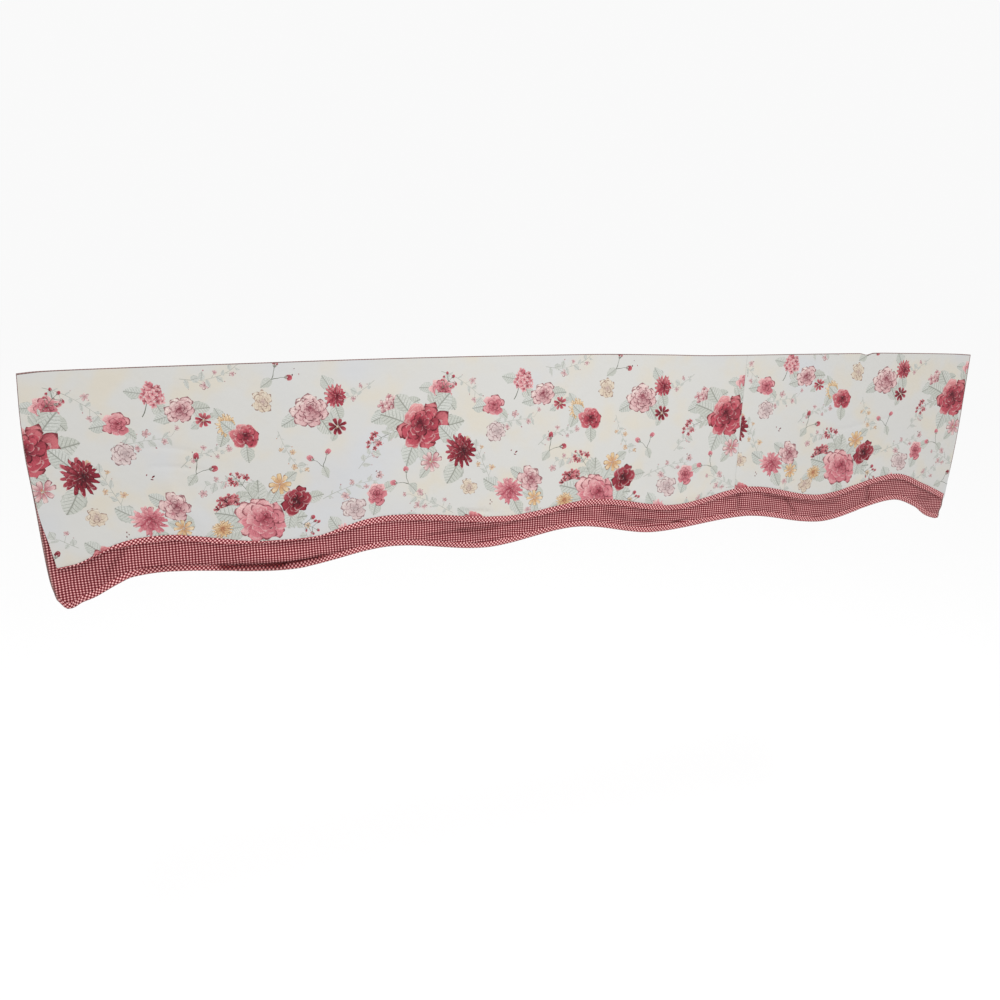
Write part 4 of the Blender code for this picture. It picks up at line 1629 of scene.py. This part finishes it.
def add_width(bm, width, on, first_number):
    """One closed width of cloth: its printed front, its plain back and the rim between them."""
    front = cut_width(width, on)
    numbers = np.where(front[2] < 0, BARE, front[2] + first_number)
    _, front_loop = add_face(bm, front, numbers, 1.0)
    back = cut_width(width, [])
    back_faces, back_loop = add_face(bm, back, np.full(len(back[1]), BACK), -1.0)
    places = np.array([v.co.xy for v in front_loop])
    match = [int(((places - np.array(v.co.xy)) ** 2).sum(axis=1).argmin()) for v in back_loop]
    turn = match.index(min(match))
    back_loop, match = back_loop[turn:] + back_loop[:turn], match[turn:] + match[:turn]
    bmesh.ops.reverse_faces(bm, faces=back_faces)
    shape = bm.faces.layers.int["shape"]
    behind = np.searchsorted(match, np.arange(len(front_loop)), side="right") - 1
    for k, vert in enumerate(front_loop):
        after = (k + 1) % len(front_loop)
        corners = [front_loop[after], vert, back_loop[behind[k]], back_loop[behind[after]]]
        bm.faces.new(dict.fromkeys(corners))[shape] = RIM
    print("triangles in front:", len(front[1]), "and at the back:", len(back_faces))


def closed_cloth():
    """Both widths in one mesh, lying flat, and all the shapes on them."""
    bm = bmesh.new()
    shapes = []
    for width in PRINTED_WIDTHS:
        on = printed_on(width)
        add_width(bm, width, on, len(shapes))
        shapes += on
    print("open edges left:", sum(e.is_boundary for e in bm.edges))
    print("edges with three faces:", sum(len(e.link_faces) > 2 for e in bm.edges))
    mesh = bpy.data.meshes.new("floral_cloth")
    bm.to_mesh(mesh)
    bm.free()
    return mesh, shapes


flat_cloth, printed_shapes = closed_cloth()
print("faces of the flat cloth:", len(flat_cloth.polygons))

# %% [markdown]
# The flat sheet is then hung. Before its points move, each corner takes note of its place on the
# shape it belongs to, as shares of that shape's length and width, and of the shape's two colours.
# That is all that the ink needs.

# %% The overlay's print and its hang
INK_STEP = 0.137  # moves the streaks of the ink on from one shape to the next
LEAST_T = 0.05  # nearer to the root than this, a shape counts as no narrower
BACK_SHRINK = 0.4  # the back takes less room in the map for baking
BACK_SHELF = 0.98  # and lies at this height in it


def printed_overlay(mesh, shapes, material):
    """Hangs the flat cloth: its print, its maps, its place and its shading."""
    x, y = (np.array([v.co[axis] for v in mesh.vertices]) for axis in (0, 1))
    drop = top_edge(x) - y
    side = np.array([item.value for item in mesh.attributes["side"].data])
    vertex, face = corners_of(mesh)
    top = np.array([item.value for item in mesh.attributes["shape"].data])
    add_print(mesh, shapes, x[vertex], y[vertex], top[face])
    add_cloth_maps(mesh, x, y, GRAIN_STRIPS)
    shrink_back(mesh, x[vertex], y[vertex], top[face] <= BACK)
    points = OVERLAY.stand(x, drop, side * COTTON / 2)
    square = OVERLAY.facing(x, drop) * side[:, None]
    piece = finish_sheet(mesh, "floral_cloth", points, None, material)
    flat_faces = np.array([p.normal for p in mesh.polygons])
    rim = top[face] == RIM
    mesh.normals_split_custom_set(np.where(rim[:, None], flat_faces[face], square[vertex]).tolist())
    for name in ("shape", "side"):
        mesh.attributes.remove(mesh.attributes[name])
    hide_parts("floral_panel_left", "floral_panel_right")
    return piece


def add_print(mesh, shapes, x, y, top):
    """Puts each corner's place on its shape, and the shape's two colours, on the mesh."""
    bare = petal((0, 0), 0.0, 1.0, 1.0, (GROUND, GROUND))
    table = shapes + [bare]
    number = np.where(top < 0, len(shapes), top)

    def each(part):
        return np.array([getattr(shape, part) for shape in table])[number]

    root, forth, aside = each("root"), each("forth"), each("aside")
    waist, curl, kind = each("waist"), each("curl"), each("kind")
    off = np.stack([x, y], axis=-1) - root
    size = forth[:, 0] * aside[:, 1] - forth[:, 1] * aside[:, 0]
    t = (off[:, 0] * aside[:, 1] - off[:, 1] * aside[:, 0]) / size
    across = (forth[:, 0] * off[:, 1] - forth[:, 1] * off[:, 0]) / size
    across = (across - curl * t * t) / (waist + (1 - waist) * t.clip(LEAST_T, 1))
    place = np.stack([t, across, (number * INK_STEP) % 1.0], axis=-1)
    printed = (top >= 0).astype(float)
    places = mesh.attributes.new("Place", "FLOAT_VECTOR", "CORNER")
    places.data.foreach_set("vector", place.ravel())
    for name, part, alpha in (("Root", "first", printed), ("Tip", "last", kind)):
        colours = mesh.attributes.new(name, "FLOAT_COLOR", "CORNER")
        values = np.concatenate([each(part), alpha[:, None]], axis=1)
        colours.data.foreach_set("color", values.ravel())


def shrink_back(mesh, x, y, behind):
    """Moves the back and the rim to a free corner of the map for baking."""
    layer = mesh.uv_layers["OFBake"].uv
    places = np.empty(len(layer) * 2, np.float32)
    layer.foreach_get("vector", places)
    places = places.reshape(-1, 2)
    places[behind, 0] = (x[behind] + BAKE_MARGIN) * BACK_SHRINK
    places[behind, 1] = BACK_SHELF + (y[behind] - BAKE_MARGIN) * BACK_SHRINK
    layer.foreach_set("vector", places.ravel())


# %% [markdown]
# ## The printed cotton
#
# The ground is a pale grey-white, tinted unevenly with cream and cool grey. On a petal the ink
# runs from the root colour to the tip colour in streaks, with a pale lip along its edge. On a leaf
# a midrib and side veins are drawn darker, and one half lies in shade. The cloth itself is a plain
# weave, finer than the check, and at the seam it dips in a shallow groove.

# %% The floral material
STREAK = (0.2, 0.8)  # from the least to the most of a streak's noise
VEINS = 7.5  # side veins from a leaf's root to its tip
VEIN_LEAN = 0.22  # share of the leaf's length that a vein runs forward on its way to the edge
VEIN_TINT = (0.40, 0.40, 0.37, 1)
VEIN_SHARE = 0.72  # how far the veins take that tint
LIP_SHARE = 0.42  # how far a petal's edge pales
DARK_TINT = (0.42, 0.30, 0.32, 1)
DARK_SHARE = 0.85  # how far a drawn petal's edge darkens
STREAK_SCALE = (1.6, 5.0, 61.0)  # streaks are long and narrow, and differ from shape to shape
KIND_BOUNDS = (0.2, 0.5, 0.8, 2.0)  # between the numbers of the kinds of shape
FLORAL_RIB = 0.00002  # height of the rib over a yarn
FLORAL_SOFT = 0.0045  # height of the soft unevenness of this cloth
GROOVE = (0.0004, 0.0045)  # the seam's groove is level to the first distance, and ends at the second
GROOVE_DEPTH = 0.0002


def ground_tints(nodes, place):
    """The bare ground, tinted unevenly."""
    patches = nodes.noise(place, 11.0, 3.0).outputs[0]
    cool = nodes.noise(place, 6.0, 1.0).outputs[1]
    warm = nodes.stretch(patches, 0.46, 0.70, 0.0, 0.60, smooth=True)
    tinted = nodes.mix(warm, (*GROUND, 1), (*CREAM, 1))
    green = nodes.add("ShaderNodeSeparateColor", {0: cool}).outputs[1]
    return nodes.mix(nodes.stretch(green, 0.50, 0.72, 0.0, 0.5, smooth=True), tinted, (*COOL, 1))


def petal_ink(nodes, t, y, streak, root, tip):
    """From the root colour to the tip colour in streaks, and the amount of ink along the edge."""
    share = nodes.plus(t, nodes.stretch(streak, *STREAK, -0.60, 0.60))
    body = nodes.mix(nodes.stretch(share, 0.05, 0.90, smooth=True), root, tip)
    shaded = nodes.mix(nodes.stretch(y, -0.2, 0.9, 0.0, 0.35), body, root)
    forth = nodes.math("POWER", nodes.math("SUBTRACT", nodes.times(t, 2.0), 1.0), 2.0)
    aside = nodes.math("POWER", nodes.math("ABSOLUTE", y), 2.0)
    rim = nodes.math("SQRT", nodes.plus(forth, aside))
    uneven = nodes.plus(rim, nodes.stretch(streak, *STREAK, -0.14, 0.14))
    edge = nodes.stretch(uneven, 0.80, 0.97, smooth=True)
    return shaded, nodes.times(edge, nodes.stretch(t, 0.15, 0.55))


def leaf_ink(nodes, t, y, streak, shade, light):
    """Light and shaded halves, and veins that run forward from the midrib."""
    side = nodes.math("ABSOLUTE", y)
    halves = nodes.stretch(y, -0.05, 0.05, 0.10, 0.60)
    halves = nodes.plus(halves, nodes.stretch(streak, *STREAK, -0.4, 0.4))
    body = nodes.mix(halves, light, shade)
    phase = nodes.times(nodes.math("SUBTRACT", t, nodes.times(side, VEIN_LEAN)), VEINS)
    lines = nodes.stretch(nodes.math("PINGPONG", phase, 0.5), 0.03, 0.12, 0.9, 0.0)
    midrib = nodes.stretch(side, 0.03, 0.09, 1.0, 0.0)
    sides = nodes.times(lines, nodes.stretch(side, 0.55, 0.95, 1.0, 0.0))
    outline = nodes.plus(side, nodes.stretch(streak, 0.3, 0.7, -0.3, 0.1))
    outline = nodes.times(nodes.stretch(outline, 0.75, 0.95), 0.7)
    veins = nodes.math("MAXIMUM", midrib, nodes.math("MAXIMUM", sides, outline))
    return nodes.mix(nodes.times(veins, VEIN_SHARE), body, nodes.tinted(shade, VEIN_TINT))


def between(nodes, kind, low, high):
    """1 where the kind of shape lies between the two numbers, and 0 elsewhere."""
    above = nodes.math("GREATER_THAN", kind, low)
    return nodes.times(above, nodes.math("LESS_THAN", kind, high))


def all_inks(nodes, place, cloth):
    """The ink of whichever shape is printed at a place."""
    root = nodes.add("ShaderNodeAttribute", attribute_name="Root").outputs
    tip = nodes.add("ShaderNodeAttribute", attribute_name="Tip").outputs
    first, last, kind = root["Color"], tip["Color"], tip["Alpha"]
    t, y, _ = nodes.add("ShaderNodeSeparateXYZ", {0: place}).outputs
    stretched = nodes.add("ShaderNodeMapping", {"Vector": place, "Scale": STREAK_SCALE}).outputs[0]
    streak = nodes.noise(stretched, 1.8, 5.0, 0.68).outputs[0]
    petals, edge = petal_ink(nodes, t, y, streak, first, last)
    pale_edged = nodes.mix(nodes.times(edge, LIP_SHARE), petals, (*SHELL, 1))
    dark_edged = nodes.mix(nodes.times(edge, DARK_SHARE), petals, nodes.tinted(first, DARK_TINT))
    inks = pale_edged, dark_edged, leaf_ink(nodes, t, y, streak, first, last)
    ink = first
    for low, high, kind_ink in zip(KIND_BOUNDS, KIND_BOUNDS[1:], inks):
        ink = nodes.mix(between(nodes, kind, low, high), ink, kind_ink)
    grain = nodes.noise(cloth, 420.0, 3.0, 0.7).outputs[0]
    ink = nodes.dimmed(ink, nodes.stretch(grain, 0.3, 0.7, 0.80, 1.14))
    return nodes.mix(root["Alpha"], ground_tints(nodes, cloth), ink)


def floral_cotton(name):
    nodes = Nodes(name)
    cloth = nodes.cloth_map()
    colour = all_inks(nodes, nodes.attribute("Place", "Vector"), cloth)
    soft = nodes.noise(cloth, 14.0, 3.0, 0.55).outputs[0]
    height = nodes.woven(cloth, FLORAL_RIB, soft, FLORAL_SOFT)
    along = nodes.add("ShaderNodeSeparateXYZ", {0: cloth}).outputs[0]
    groove = nodes.math("ABSOLUTE", nodes.math("SUBTRACT", along, SEAM))
    groove = nodes.stretch(groove, *GROOVE, -GROOVE_DEPTH, 0.0, smooth=True)
    height = nodes.plus(height, groove)
    return nodes.cotton(colour, height, strength=0.6, roughness=0.86, specular=0.3)


overlay = printed_overlay(flat_cloth, printed_shapes, floral_cotton("floral_cotton"))
print("size of the hung overlay:", overlay.dimensions.to_tuple(4))

# %% [markdown]

# %% [markdown]
# ## The floor and the light
#
# The valance hangs above a plain pale floor. A white surround gives an even, shadowless light,
# as a light tent does. One wide lamp above the front adds the soft shadows that show the
# folds, and the dark line under the overlay's hem. A small weak lamp close in front lifts the
# middle, as a lamp beside the camera does, so the two ends look a little darker.

# %% Floor and light
FLOOR_DROP = 2.1  # the floor is this far below the top edge, as under the top of a window
FLOOR_SIZE = 60.0
FLOOR_COLOUR = (1.0, 1.0, 1.0, 1.0)
SURROUND = 0.95  # brightness of the white surround

Lamp = namedtuple("Lamp", "name at size power")
LAMPS = (
    Lamp("wide_lamp", (-0.35, -1.8, 2.6), 1.2, 46.0),
    Lamp("front_lamp", (-0.05, -0.9, -0.15), 0.4, 1.2),
)


def add_floor():
    bm = bmesh.new()
    bmesh.ops.create_grid(bm, x_segments=1, y_segments=1, size=FLOOR_SIZE / 2)
    bmesh.ops.translate(bm, verts=bm.verts, vec=(0, 0, -FLOOR_DROP))
    mesh = bpy.data.meshes.new("floor")
    bm.to_mesh(mesh)
    bm.free()
    paint = Nodes("floor_paint")
    paint.surface.inputs["Base Color"].default_value = FLOOR_COLOUR
    paint.surface.inputs["Roughness"].default_value = 1.0
    paint.surface.inputs["Specular IOR Level"].default_value = 0.0
    mesh.materials.append(paint.material)
    floor = bpy.data.objects.new("floor", mesh)
    bpy.context.scene.collection.objects.link(floor)
    return floor


def add_surround():
    world = bpy.data.worlds.new("surround")
    world.use_nodes = True
    world.node_tree.nodes["Background"].inputs[0].default_value = (1, 1, 1, 1)
    world.node_tree.nodes["Background"].inputs[1].default_value = SURROUND
    bpy.context.scene.world = world


def add_lamp(lamp):
    data = bpy.data.lights.new(lamp.name, "AREA")
    data.shape = "DISK"
    data.size = lamp.size
    data.energy = lamp.power
    light = bpy.data.objects.new(lamp.name, data)
    light.location = lamp.at
    light.rotation_euler = (-Vector(lamp.at)).to_track_quat("-Z", "Y").to_euler()
    light.visible_camera = False
    bpy.context.scene.collection.objects.link(light)


add_floor()
add_surround()
for lamp in LAMPS:
    add_lamp(lamp)
bpy.context.scene.view_settings.view_transform = "Standard"
print("floor at", -FLOOR_DROP)
